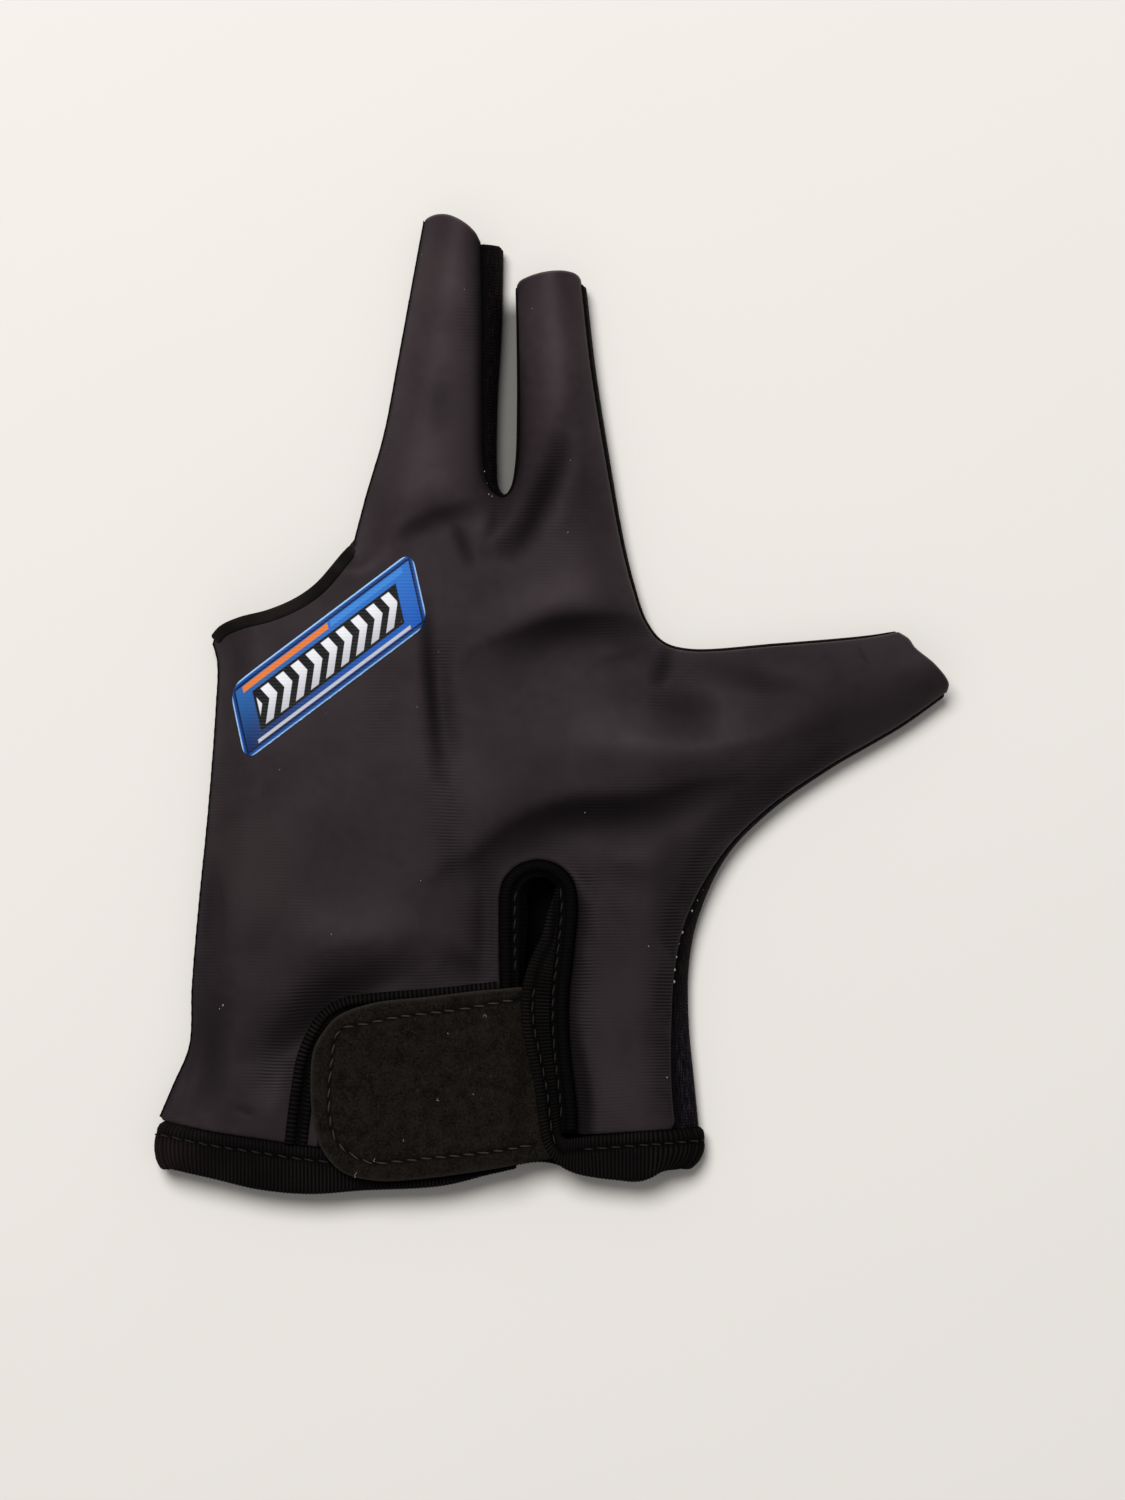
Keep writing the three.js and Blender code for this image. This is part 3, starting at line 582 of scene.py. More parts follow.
class Val:  # a socket that can be used in an expression
    def __init__(self, mat, socket):
        self.mat, self.socket = mat, socket

    def maths(self, operation, *others, swap=False):
        values = [*others, self] if swap else [self, *others]
        node = self.mat.node("ShaderNodeMath", dict(operation=operation), dict(enumerate(values)))
        return Val(self.mat, node.outputs[0])

    def __add__(self, other):
        return self.maths("ADD", other)

    def __sub__(self, other):
        return self.maths("SUBTRACT", other)

    def __rsub__(self, other):
        return self.maths("SUBTRACT", other, swap=True)

    def __mul__(self, other):
        return self.maths("MULTIPLY", other)

    def __truediv__(self, other):
        return self.maths("DIVIDE", other)

    def __gt__(self, other):
        return self.maths("GREATER_THAN", other)

    def __lt__(self, other):
        return self.maths("LESS_THAN", other)

    __radd__, __rmul__ = __add__, __mul__

    def within(self, low, high):  # eases from 0 at low to 1 at high
        values = {"Value": self.socket, "From Min": low, "From Max": high}
        node = self.mat.node("ShaderNodeMapRange", dict(interpolation_type="SMOOTHSTEP"), values)
        return Val(self.mat, node.outputs[0])


def sine(value):
    return value.maths("SINE")


def absolute(value):
    return value.maths("ABSOLUTE")


def higher(a, b):
    return a.maths("MAXIMUM", b)


class Finish:
    def __init__(self, name, **constants):
        self.material = bpy.data.materials.new(name)
        self.material.use_nodes = True
        self.tree = self.material.node_tree
        self.shader = self.tree.nodes["Principled BSDF"]
        for socket, value in constants.items():
            self.shader.inputs[socket.replace("_", " ")].default_value = value
        place = self.node("ShaderNodeTexCoord").outputs["Object"]
        scaled = self.node("ShaderNodeVectorMath", dict(operation="SCALE"), {0: place, "Scale": 1000.0})
        self.place = scaled.outputs[0]  # the point in millimetres
        split = self.node("ShaderNodeSeparateXYZ", {}, {0: self.place})
        self.x, self.y, self.z = (Val(self, s) for s in split.outputs)
        shade, self.pull = (
            Val(self, self.node("ShaderNodeAttribute", dict(attribute_name=key)).outputs["Fac"])
            for key in ("shade", "pull")
        )
        # the shade attribute above 0 lightens: painted highlight, and on the ring tape its own lighter
        # tone; below 0 it darkens: painted shade
        self.paintedLightAndTone = higher(shade, 0)
        self.paintedShade = higher(0 - shade, 0)

    def node(self, kind, settings=None, values=None):
        made = self.tree.nodes.new(kind)
        for key, value in (settings or {}).items():
            setattr(made, key, value)
        for key, value in (values or {}).items():
            value = value.socket if isinstance(value, Val) else value
            if isinstance(value, bpy.types.NodeSocket):
                self.tree.links.new(value, made.inputs[key])
            else:
                made.inputs[key].default_value = value
        return made

    def noise(self, scale, detail=2.0, roughness=0.5, stretch=None):  # scale is per millimetre
        place = self.place
        if stretch:
            scaled = self.node("ShaderNodeVectorMath", dict(operation="MULTIPLY"), {0: place, 1: stretch})
            place = scaled.outputs[0]
        values = {"Vector": place, "Scale": scale, "Detail": detail, "Roughness": roughness}
        return Val(self, self.node("ShaderNodeTexNoise", {}, values).outputs[0])

    def specks(self, scale, size, chance):  # sparse small dots
        cells = self.node("ShaderNodeTexVoronoi", {}, {"Vector": self.place, "Scale": scale})
        pick = self.node("ShaderNodeSeparateColor", {}, {0: cells.outputs["Color"]})
        near = 1 - Val(self, cells.outputs["Distance"]).within(size * 0.5, size)
        return near * (Val(self, pick.outputs[0]) < chance)

    def mix(self, factor, a, b):
        full = lambda c: (*c, 1) if isinstance(c, tuple) else c
        values = {0: factor, 6: full(a), 7: full(b)}
        return self.node("ShaderNodeMix", dict(data_type="RGBA"), values).outputs[2]

    def color(self, value):
        self.tree.links.new(value, self.shader.inputs["Base Color"])

    def rough(self, value):
        self.tree.links.new(value.socket, self.shader.inputs["Roughness"])

    def bump(self, height, distance):  # distance in millimetres
        made = self.node("ShaderNodeBump", {}, {"Height": height, "Distance": distance * 0.001})
        self.tree.links.new(made.outputs[0], self.shader.inputs["Normal"])


# rim: painted highlight colour; furrowAndShade: the dark of the ribs' furrows and of painted shade;
# wristShade: painted shade toward the wrist
lycra = {
    "light": (0.0336, 0.0246, 0.0280), "dark": (0.0208, 0.0139, 0.0165), "furrowAndShade": (0.0014, 0.0009, 0.0012),
    "rim": (0.110, 0.088, 0.080), "lint": (0.30, 0.28, 0.27), "knitX": 0.37, "knitY": 0.31,
    "ribPitch": 0.73, "ribDepth": 0.026, "ribShade": 1.12, "roughness": 0.55, "wristShade": 0.54,
}


def makeLycra():
    m = Finish("stretchCloth", Specular_IOR_Level=0.17, Specular_Tint=(1, 0.86, 0.93, 1))
    cloud = m.noise(0.045, 3.0)
    patches = m.noise(0.055, 1.5, stretch=(1.3, 0.55, 1)).within(0.55, 0.75) * 0.22
    warp = m.noise(0.04, 1.0) * 2.4
    rib = sine((m.y + warp) * (math.tau / lycra["ribPitch"]))
    pulled = higher(m.pull * (m.noise(0.16).within(0.28, 0.6) * 0.6 + 0.4), patches) + 0.03
    knit = sine(m.x * (math.tau / lycra["knitX"])) * sine(m.y * (math.tau / lycra["knitY"]))
    lint = higher(m.specks(0.060, 0.013, 0.45), m.specks(0.14, 0.014, 0.10))
    tone = (cloud * 0.8 + m.noise(0.4) * 0.2).within(0.34, 0.66)
    base = m.mix(tone, lycra["dark"], lycra["light"])
    base = m.mix((rib * 0.5 + 0.5) * pulled * lycra["ribShade"], base, lycra["furrowAndShade"])
    wearAndShade = m.y.within(-62, 120)  # painted shade: the cloth darker toward the wrist, lighter toward the fingers
    base = m.mix((1 - wearAndShade) * (1 - lycra["wristShade"]), base, (0, 0, 0))
    # painted highlight along cut edges, above the slit's arch and on the lit parts of folds
    base = m.mix(m.paintedLightAndTone, base, lycra["rim"])
    # painted shade in fold valleys, beside the tapes and the mesh and along the plain seams, with the ribs
    # showing through
    base = m.mix(m.paintedShade * (0.97 - (0.5 - rib * 0.5) * pulled * 0.32), base, lycra["furrowAndShade"])
    m.color(m.mix(lint, base, lycra["lint"]))
    m.rough(lycra["roughness"] + m.noise(0.25) * 0.10 + m.paintedShade * 0.42)
    m.bump(knit * 0.10 - rib * pulled + m.noise(2.5) * 0.14, lycra["ribDepth"])
    return m.material


def makeLining():
    m = Finish("lining", Roughness=0.95, Specular_IOR_Level=0.05)
    fleece = m.noise(1.8, 3.0, 0.7)
    m.color(m.mix(fleece.within(0.35, 0.7), (0.0008, 0.0007, 0.0008), (0.0022, 0.0018, 0.0020)))
    m.bump(fleece, 0.1)
    return m.material


mesh = {
    "thread": (0.0028, 0.0018, 0.0020), "hole": (0.0006, 0.0004, 0.0006), "pitch": 0.66, "depth": 0.12,
    "brown": (0.0135, 0.0078, 0.0084), "purple": (0.0270, 0.0200, 0.0330),
}


def makeMesh():
    m = Finish("knitMesh", Roughness=0.8, Specular_IOR_Level=0.05)
    k = math.tau / mesh["pitch"]
    wobble = m.noise(0.9, 1.5) * 0.9
    rows = sine((m.y + wobble) * k)
    holes = (sine((m.x + m.z * 0.6 + wobble) * k * 1.2) * rows).within(0.2, 0.8)
    strand = m.noise(2.1, 3.0, 0.65, stretch=(2.0, 0.16, 1.2))
    bright = (strand.within(0.42, 0.66) * 0.8 + rows * 0.12).within(0.05, 0.9)
    wrist = 1 - (m.y + 72).within(-6, 14)
    # strands purple and lighter toward the wrist, brown and darker toward the fingers
    strandTint = m.mix(wrist, mesh["brown"], mesh["purple"])
    base = m.mix(bright, mesh["thread"], strandTint)
    # painted shade beside the cloth's edge, in the holes' colour
    m.color(m.mix(m.paintedShade, m.mix(holes * 0.8, base, mesh["hole"]), mesh["hole"]))
    m.bump(strand * 0.6 + rows * 0.3 - holes, mesh["depth"])
    return m.material


# ridgeHighlight: painted highlight on rib crests, and the ring tape's own lighter tone; valley: painted
# shade in troughs and grooves
tape = {
    "light": (0.0034, 0.0026, 0.0023), "dark": (0.0008, 0.0006, 0.0006), "ridgeHighlight": (0.0170, 0.0140, 0.0128),
    "valley": (0.0002, 0.0002, 0.0002), "brown": (0.0125, 0.0074, 0.0066),
}


def makeTape():
    m = Finish("ribbedTape", Specular_IOR_Level=0.04)
    fibre = m.noise(2.6, 3.0, 0.65)
    wear = m.noise(0.10).within(0.35, 0.7)
    base = m.mix(fibre.within(0.3, 0.75), tape["dark"], tape["light"])
    faded = 1 - (m.x + 78).within(-6, 14)  # the tape is browner at the left of the wrist
    base = m.mix(faded * (wear * 0.4 + 0.2), base, tape["brown"])
    # painted highlight on rib crests; on the ring tape its own lighter tone
    base = m.mix(m.paintedLightAndTone * (wear * 0.5 + 0.25), base, tape["ridgeHighlight"])
    # painted shade in rib troughs and grooves; the slit tape darker all over
    base = m.mix(m.paintedShade * 0.9, base, tape["valley"])
    m.color(m.mix(m.specks(0.30, 0.02, 0.08) * 0.7, base, (0.2, 0.19, 0.18)))
    m.rough(0.66 + m.noise(1.2) * 0.22)
    m.bump(fibre + m.noise(6.0) * 0.5, 0.05)
    return m.material


# edge: painted highlight along the tab's rim; groove: painted shade in its stitch groove
felt = {
    "light": (0.0128, 0.0100, 0.0078), "dark": (0.0030, 0.0023, 0.0019), "edge": (0.034, 0.028, 0.023),
    "dust": (0.070, 0.066, 0.056), "lint": (0.55, 0.54, 0.50), "groove": (0.0012, 0.0009, 0.0008),
}


def makeFelt(name):
    m = Finish(name, Roughness=0.95, Specular_IOR_Level=0.06)
    pile = m.noise(1.9, 4.0, 0.72)
    cloud = m.noise(0.35, 4.0, 0.6)
    hairs = m.noise(1.1, 3.0, 0.65, stretch=(3.0, 0.5, 1)).within(0.60, 0.74)
    lint = higher(m.specks(0.16, 0.022, 0.16), m.specks(0.45, 0.030, 0.05))
    dust = m.specks(1.3, 0.16, 0.16) * m.noise(0.10).within(0.46, 0.64)
    base = m.mix((pile * 0.75 + cloud * 0.4).within(0.42, 0.74), felt["dark"], felt["light"])
    base = m.mix(hairs * 0.22, base, felt["dust"])
    base = m.mix(dust * 0.45, base, felt["dust"])
    # painted highlight on the edge, painted shade in the groove
    base = m.mix(m.paintedLightAndTone * 0.55, base, felt["edge"])
    base = m.mix(m.paintedShade * 0.9, base, felt["groove"])
    m.color(m.mix(lint, base, felt["lint"]))
    m.bump(pile + m.noise(5.0, 3.0, 0.7) * 0.7, 0.16)
    return m.material


def makeThread(name, color):
    m = Finish(name, Roughness=0.7, Specular_IOR_Level=0.15)
    twist = sine((m.x + m.y * 0.8 + m.z) * (math.tau / 0.30))
    m.color(m.mix(twist * 0.5 + 0.5, tuple(c * 0.4 for c in color), color))
    m.bump(twist, 0.04)
    return m.material


# the badge: a plain pattern of bars and bands in the print's colours
badge = {
    "x": -48.5, "y": 10.5, "length": 50.0, "width": 15.0, "turn": 37.0, "slant": 0.45, "corner": 3.0,
    "top": 0.3, "bottom": 0.03, "rounding": 0.22, "spacing": 0.9, "outlineStep": 0.7,
    "blue": (0.006, 0.085, 0.42), "deep": (0.004, 0.014, 0.075), "sky": (0.042, 0.22, 0.64),
    "orange": (0.75, 0.19, 0.03), "silver": (0.50, 0.50, 0.54), "black": (0.0022, 0.0022, 0.0032),
    "white": (0.82, 0.82, 0.86), "glow": (0.35, 0.60, 0.88),
}


def makePrint():
    m = Finish("printedFilm", Specular_IOR_Level=0.16)
    turn = math.radians(badge["turn"])
    c, s = math.cos(turn), math.sin(turn)
    dx, dy = m.x - badge["x"], m.y - badge["y"]
    v = dy * c - dx * s  # across the badge
    u = dx * c + dy * s - v * badge["slant"]  # along it, on its slant
    edge = 0 - higher(absolute(v) - badge["width"] / 2, absolute(u) - badge["length"] / 2)

    def band(value, low, high, soft=0.2):
        return value.within(low, low + soft) * (1 - value.within(high - soft, high))

    def ending(reach, soft=0.3):  # 1 along the badge up to its ends
        return 1 - absolute(u).within(reach - soft, reach)

    chevron = ((absolute(v - 0.4) * 0.55 + u) / 4.1).maths("FRACT")  # chevrons point along the badge
    inner = band(v, -4.3, 4.0) * ending(19.7)
    bar = band(chevron, 0.10, 0.66, 0.04) * band(v, -3.7, 3.4) * ending(19.0, 0.2)
    ground = m.mix((u + 25).within(0, 46), badge["deep"], badge["blue"])
    ground = m.mix((v + 8).within(0, 16) * 0.55, ground, badge["sky"])
    color = m.mix((edge - 1.2).within(0, 0.2), badge["black"], ground)
    stripe = band(v, 4.7, 6.1) * ending(21.9)
    color = m.mix(stripe * (u < 1.5), color, badge["orange"])
    color = m.mix(stripe * (u > 2.2), color, badge["sky"])
    color = m.mix(band(v, -6.1, -5.2) * ending(20.9), color, badge["silver"])
    color = m.mix(inner, color, badge["black"])
    color = m.mix(bar, color, m.mix((v + 4).within(0, 7.5), badge["silver"], badge["white"]))
    glow = (1 - (edge - 0.45).within(0, 0.8)) * 0.75
    color = m.mix(glow, color, badge["blue"])
    color = m.mix(1 - (edge - 0.12).within(0, 0.35), color, badge["glow"])
    wearAndShade = m.noise(1.6, 3.0, 0.7).within(0.66, 0.80) * 0.4
    m.color(m.mix(wearAndShade, color, (0.03, 0.03, 0.035)))
    m.rough(0.42 + m.noise(0.8) * 0.2)
    m.bump(sine(m.y * (math.tau / lycra["ribPitch"])) * 0.4 + m.noise(2.0, 3.0) * 0.7 + bar * 0.8, 0.03)
    return m.material


lycraFinish, liningFinish, meshFinish, tapeFinish = makeLycra(), makeLining(), makeMesh(), makeTape()
feltFinish, loopFinish, printFinish = makeFelt("felt"), makeFelt("loopPile"), makePrint()
darkThread = makeThread("darkThread", (0.022, 0.019, 0.015))
tabThread = makeThread("tabThread", (0.052, 0.045, 0.036))
seamWhite = makeThread("paleThread", (0.42, 0.40, 0.38))
print("finishes made")


def piece(name, skin, material, slot, *nodes, lined=()):
    points, faces, *marks = skin
    mesh = bpy.data.meshes.new(name)
    mesh.from_pydata((np.asarray(points) * 0.001).tolist(), [], faces)
    form = bmesh.new()
    form.from_mesh(mesh)
    bmesh.ops.recalc_face_normals(form, faces=form.faces)
    form.to_mesh(mesh)
    form.free()
    mesh.polygons.foreach_set("use_smooth", [True] * len(mesh.polygons))
    for key, values in zip(("shade", "pull"), marks):  # shade: 1 is a painted highlight, as on a cut edge, -1 painted shade, as at a groove's bottom
        mesh.attributes.new(key, "FLOAT", "POINT").data.foreach_set("value", np.clip(values, -1, 1))
    mesh.materials.append(material)
    if lined:  # the faces from one number to another are the glove's inside
        mesh.materials.append(liningFinish)
        first, last = lined
        for polygon in mesh.polygons[first:last]:
            polygon.material_index = 1
    made = bpy.data.objects.new(name, mesh)
    bpy.context.collection.objects.link(made)
    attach(made, "root")
    if nodes:
        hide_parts(*nodes)


# the back of the glove
back = {
    "spacing": 0.95, "gap": 0.12, "plain": 0.22, "rolledEdge": 0.45, "highlightWidth": 0.24, "seamShadeWidth": 0.4,
    "archHighlight": 0.10, "meshShade": 0.85,
}


def paintedRimHighlight(points):  # painted highlight along the cloth's cut edges
    edges = [inset(line, line[:, 2])[:, :2] for line in (littleLine, middleLine, webLine, thumbLine)]
    edges += [curveThrough(tip, 0.5) for tip in (indexTip, middleTip, thumbTip)]
    rim = bell(edgeDistance(points, edges, False), back["highlightWidth"])
    tips = smooth((points[:, 1] - 88) / 6) + smooth((points[:, 0] - 74) / 6)
    onRight = smooth((points[:, 0] + 2) / 6) * smooth((points[:, 1] + 62) / 20)
    return rim * (0.35 + 0.65 * onRight * (1 - tips) + 0.5 * tips)


def besideSlit(points):  # how far the cloth dips there, its painted shade, and its painted highlight at the arch
    away = edgeDistance(points, [slitOutline], False)
    right = smooth((points[:, 0] - 1) / 2) * smooth((-39 - points[:, 1]) / 6)
    low = smooth((-68 - points[:, 1]) / 12)
    dip = (1.1 + 0.5 * low) * right * bell(away, 1.5 + 1.1 * low)
    reach = 0.5 + right * (2.3 + 0.9 * low)
    dark = np.exp(-((away / reach) ** (2.5 + 3.5 * low))) * (0.4 + (0.47 + 0.06 * low) * right)
    pale = back["archHighlight"] * bell(away - 0.9, 0.7) * smooth((points[:, 1] + 42) / 3)
    return dip, dark * (points[:, 1] < -30), pale


def besideMesh(points):  # painted shade where the cloth rolls down to the mesh between the fingers
    onLeft = points[:, 0] < -10
    away = edgeDistance(points, [roll["edges"]], False)
    dark = bell(away, np.where(onLeft, 1.9, 0.9)) * back["meshShade"]
    return dark * smooth((points[:, 1] - 44) / 8) * np.where(onLeft, 1, smooth((80 - points[:, 1]) / 20))


def makeBack():
    slitCut = inset(slitOutline, -back["gap"])[::-1]
    outline = cleaned(panelOutline(0.1, 1, 0, back["plain"], slitCut))
    points, faces, away = cutSheet(outline, back["spacing"])
    # underTape is painted shade beside the slit's tape; arch is a painted highlight above its arch
    dip, underTape, arch = besideSlit(points)
    surface = clothTop(points) - dip
    plainSides = [inset(line, back["gap"])[:, :2] for line in (littleLine, middleLine)]
    # painted shade: a dark line along the plain side seams
    seam = bell(edgeDistance(points, plainSides, False), back["seamShadeWidth"])
    # painted shade beside the tapes, seams and mesh and in the fold valleys, lightened where the folds
    # carry a painted highlight
    dark = np.maximum.reduce([underTape, seam, besideMesh(points)])
    tone = foldField(points)[1]
    dark = np.where(tone < 0, dark + tone, np.maximum(dark, tone))
    # painted highlights on cut edges and at the arch, less the painted shade; nothing is painted on the
    # inside
    shade = np.concatenate([paintedRimHighlight(points) + arch - dark, np.zeros(len(points))])
    pull = np.tile(pullOf(points), 2)
    skin = thick(points, faces, surface - rounded(away, back["rolledEdge"]), surface - glove["cloth"])
    inside = (len(faces), 2 * len(faces))
    piece("back", (*skin, shade, pull), lycraFinish, "stretch_cloth", "back_panel", lined=inside)
    print("back made", len(faces))


# the palm, curled up at its edges to meet the back
palm = {
    "spacing": 1.6, "inset": 0.35, "plainInset": -0.16, "tipShort": 1.0, "curlMesh": 2.1, "curlThin": 0.96,
    "sideRange": (4.5, 8), "underBack": 1.2,
}


def makePalm():
    outline = cleaned(panelOutline(palm["inset"], 0, palm["tipShort"], palm["plainInset"]))
    points, faces, _ = cutSheet(outline, palm["spacing"], roundAt=(0, 0.35, 0.9, 1.7, 2.6))
    plainSides = [inset(line, palm["plainInset"]) for line in (littleLine, middleLine)]
    meshSides = [inset(line, palm["inset"]) for line in (crotchLine, webLine, thumbLine)]
    curlPlain = np.clip(clothTop(points), *palm["sideRange"]) - palm["underBack"]  # up to the back's edge
    lower = np.maximum(
        rounded(edgeDistance(points, plainSides, False), curlPlain),
        rounded(edgeDistance(points, meshSides, False), palm["curlMesh"]),
    )
    skin = thick(points, faces, lower + glove["cloth"] * np.where(lower > 0.1, palm["curlThin"], 1), lower)
    piece("palm", skin, lycraFinish, "stretch_cloth", "palm_panel", lined=(0, len(faces)))
    print("palm made", len(faces))


makeBack()
makePalm()

# mesh gussets, from under the back's edge round to the palm's
gusset = {
    "thickness": 0.4, "under": 1.12, "outerZ": 3.3, "skirt": 0.95, "endRound": 0.9, "step": 0.7,
    "clear": 0.05,
}
gussetRows = [  # share of the mesh's width, how far past it under the back, and painted shade
    (1, 1.3, -1), (1, 0.45, -1), (0.82, 0, -0.75), (0.6, 0, -0.1), (0.38, 0, 0), (0.18, 0, 0), (0.04, 0, 0),
]


def makeGusset(name, line, node, beyond=0):
    line = respaced(extended(line, 0, beyond) if beyond else line, gusset["step"])
    m, run = line[:, 2], runOf(line)
    nearEnd = rounded(np.minimum(run, run[-1] - run if not beyond else 99), gusset["endRound"])
    columns = []
    for share, extra, _ in gussetRows:
        p = inset(line, np.maximum(m * share, nearEnd) + extra + gusset["clear"])[:, :2]
        if extra:
            z = clothTop(p) - gusset["under"]
        else:
            bulge = math.sin(math.pi / 2 * share) ** 0.75
            top = clothTop(inset(line, m + 0.45)[:, :2]) - gusset["under"]
            z = gusset["outerZ"] + (top + 0.3 * np.minimum(m, 1.5) - gusset["outerZ"]) * bulge
        columns.append(np.column_stack([p, z]))
    p = inset(line, nearEnd + gusset["clear"])[:, :2]
    columns.append(np.column_stack([p, np.full(len(p), gusset["outerZ"] - gusset["skirt"])]))
    grid = np.stack(columns, axis=1)
    normal = gridNormals(grid) * gusset["thickness"] / 2
    skin = gridSkin(np.concatenate([grid + normal, (grid - normal)[:, ::-1]], axis=1))
    shades = [shade for *_, shade in gussetRows] + [0]  # painted shade beside the cloth's edge
    shade = np.tile(shades + shades[::-1], len(grid))
    piece(name, (*skin, shade), meshFinish, "mesh_cloth", node)


makeGusset("meshBetweenFingers", crotchLine, "finger_gusset")
makeGusset("meshAtWeb", webLine, "web_gusset")
makeGusset("meshAtThumb", thumbLine, "thumb_gusset", beyond=1.9)
print("gussets made")

# the tape round the hole for the ring and little fingers
ringTape = {
    "width": 2.3, "thickness": 0.9, "pitch": 0.6, "depth": 0.02, "bulge": 0.4, "clear": 0.4, "proud": 0.25,
    "tuck": 1.5, "step": 0.21,
}


def makeRingTape():
    line = curveThrough(ringEdge, ringTape["step"])[:, :2]
    line = line[(runOf(line) > ringTape["clear"]) & (runOf(line) < runOf(line)[-1] - 0.3)]
    along = tangents(line)
    half = ringTape["thickness"] / 2
    columns = []
    for share in np.linspace(1, 0, 7):  # from the inner edge to the fold at the opening
        p = inset(line, ringTape["width"] * share + half)
        tuck = ringTape["tuck"] * smooth((line[:, 0] + 45.8) / 2.4)  # under the finger's cloth
        high, low = backTop(p) + ringTape["proud"] - half - tuck, np.full(len(p), half + 0.05)
        rounds = []
        for end, direction, turns in ((-1, along[-1], (80, -80)), (0, -along[0], (-80, 80))):
            a = np.radians(np.linspace(*turns, 16))
            middle, reach = (high[end] + low[end]) / 2, (high[end] - low[end]) / 2
            xy = p[end] + np.outer(np.cos(a) * ringTape["bulge"], direction)
            rounds.append(np.column_stack([xy, middle + reach * np.sin(a)]))
        columns.append(np.vstack([
            np.column_stack([p, high]), rounds[0], np.column_stack([p, low])[::-1], rounds[1],
        ]))
    grid = np.stack(columns, axis=1)
    skin, *_ = bandSkin(grid, ringTape["thickness"], ringTape, True)
    # shade raised all over: the ring tape takes a lighter tone of its own, with faint rib marks
    skin = (*skin[:2], skin[2] * 0.12 + 1.0)
    piece("ringOpeningTape", skin, tapeFinish, "ribbed_tape", "ring_opening_tape")


makeRingTape()

# the hem tape: down the slit's free edge over the tab, round the corner and round the wrist
cuff = {
    "thickness": 1.6, "bandThickness": 0.9, "pitch": 0.82, "depth": 0.10, "proud": 0.6, "step": 0.205,
    "round": 2.0, "seamIn": 2.8, "bandSeamOut": 2.15, "grooveWidth": 0.5, "grooveDepth": 0.3,
    "left": -85.3, "right": 32.4, "underTab": -7.6, "rows": 12, "turnPoints": 24,
}
cuffEnds = [  # share down the cuff, x of its left and of its right end
    (0, -84.6, 32.4), (0.12, -85.7, 32.8), (0.3, -86.3, 33.1), (0.6, -86.5, 32.9), (0.85, -86.1, 31.9),
    (1, -85.3, 30.5),
]
# free edge x, y, seam edge x, y, then the height of each over the back
bandTable = [
    (1, -40.2, 1.75, -40.4, -0.9, 0.2), (0.4, -42.2, 1.75, -42.2, -1.1, 0.3),
    (-0.8, -45.5, 1.7, -45.8, -1.2, 0.35), (-1.9, -50.1, 1.35, -50.3, -0.9, 0.4),
    (-3.6, -53.6, 1, -54.6, -0.2, 0.4), (-5.3, -57.8, 0.5, -58.6, 1.2, 0.45),
    (-6.2, -61.4, 0.1, -62, 2.2, 0.5), (-6.6, -65, -0.1, -65.5, 2.35, 0.5),
    (-6.3, -70, -0.15, -70, 2.35, 0.5), (-5.4, -75, 0.2, -74.6, 2.35, 0.5),
    (-4.4, -79.5, 0.7, -79, 2.35, 0.5), (-3.5, -84.2, 1.2, -83.5, 2.35, 0.5),
    (-2.9, -89, 1.6, -88, 2.35, 0.5), (-2.4, -93, 1.85, -91.5, 2.3, 0.5),
    (-1.6, -96.2, 2.1, -93.8, 2.25, 0.5), (0.2, -99, 2.6, -94.6, 2.1, 0.55),
    (2.6, -101.3, 3.6, -95, 1.5, 0.6), (5.6, -102.7, 5.8, -94.8, 0.9, 0.6),
    (9.2, -103.5, 8.8, -94.4, 0.65, 0.6), (14, -104.1, 14, -94, 0.6, 0.6),
]


def cuffStretch(start, end, share, above):  # along the wrist, over the back or under the palm
    half = cuff["thickness"] / 2
    x = np.linspace(start, end, round(abs(end - start) / cuff["step"]))
    top, bottom = np.interp(x, *cuffTop.T), np.interp(x, *cuffBottom.T)
    p = np.column_stack([x, top + (bottom + half - top) * share])
    z = backTop(p) + cuff["proud"] - half if above else np.full(len(p), half + 0.05)
    return np.column_stack([p, z])


def cuffTurn(a, b, side):  # round an end of the wrist from one stretch to the other
    angle = np.radians(np.linspace(80, -80, cuff["turnPoints"])) * (1 if a[2] > b[2] else -1)
    middle, tall = (a + b) / 2, abs(a[2] - b[2]) / 2
    x = a[0] + side * cuff["round"] * np.cos(angle)
    return np.column_stack([x, np.full(len(x), middle[1]), middle[2] + tall * np.sin(angle)])


def cuffBand():  # the tape from the slit's top to the right corner, as free and seam edge
    hem = [
        (x, np.interp(x, *cuffBottom.T), x, np.interp(x, *cuffTop.T), cuff["proud"], cuff["proud"])
        for x in (19, 22.5, 26, cuff["right"] - cuff["round"])
    ]
    return curveThrough(bandTable + hem, cuff["step"])


def cuffGrid(band, thickness, shares):  # the tape's middle, a column for each share down it
    free, seam, freeRise, seamRise = band[:, :2], band[:, 2:4], band[:, 4], band[:, 5]
    fold = free - unit(free - seam) * thickness[:, None] / 2
    levels, leftEnds, rightEnds = np.array(cuffEnds).T
    cornerLeft, cornerRight = cuff["left"] + cuff["round"], cuff["right"] - cuff["round"]
    columns = []
    for share in shares:
        pastLeft = np.interp(share, levels, leftEnds) - cuff["left"]
        pastRight = np.interp(share, levels, rightEnds) - cuff["right"]

        def shifted(p):
            toRight, toLeft = smooth((p[:, 0] - 20) / 10), smooth((-75 - p[:, 0]) / 9)
            p[:, 0] += pastRight * toRight + pastLeft * toLeft
            return p

        p = seam + (fold - seam) * share
        rise = seamRise + (freeRise - seamRise) * smooth(np.full(len(p), share) * 1.25)
        slitSide = shifted(np.column_stack([p, backTop(p) + rise - thickness / 2]))
        lower = shifted(cuffStretch(cornerRight, cornerLeft, share, False))
        tabSide = shifted(cuffStretch(cornerLeft, cuff["underTab"], share, True))
        rightEnd, leftEnd = cuffTurn(slitSide[-1], lower[0], 1), cuffTurn(lower[-1], tabSide[0], -1)
        columns.append(np.vstack([slitSide, rightEnd, lower, leftEnd, tabSide]))
    return np.stack(columns, axis=1)


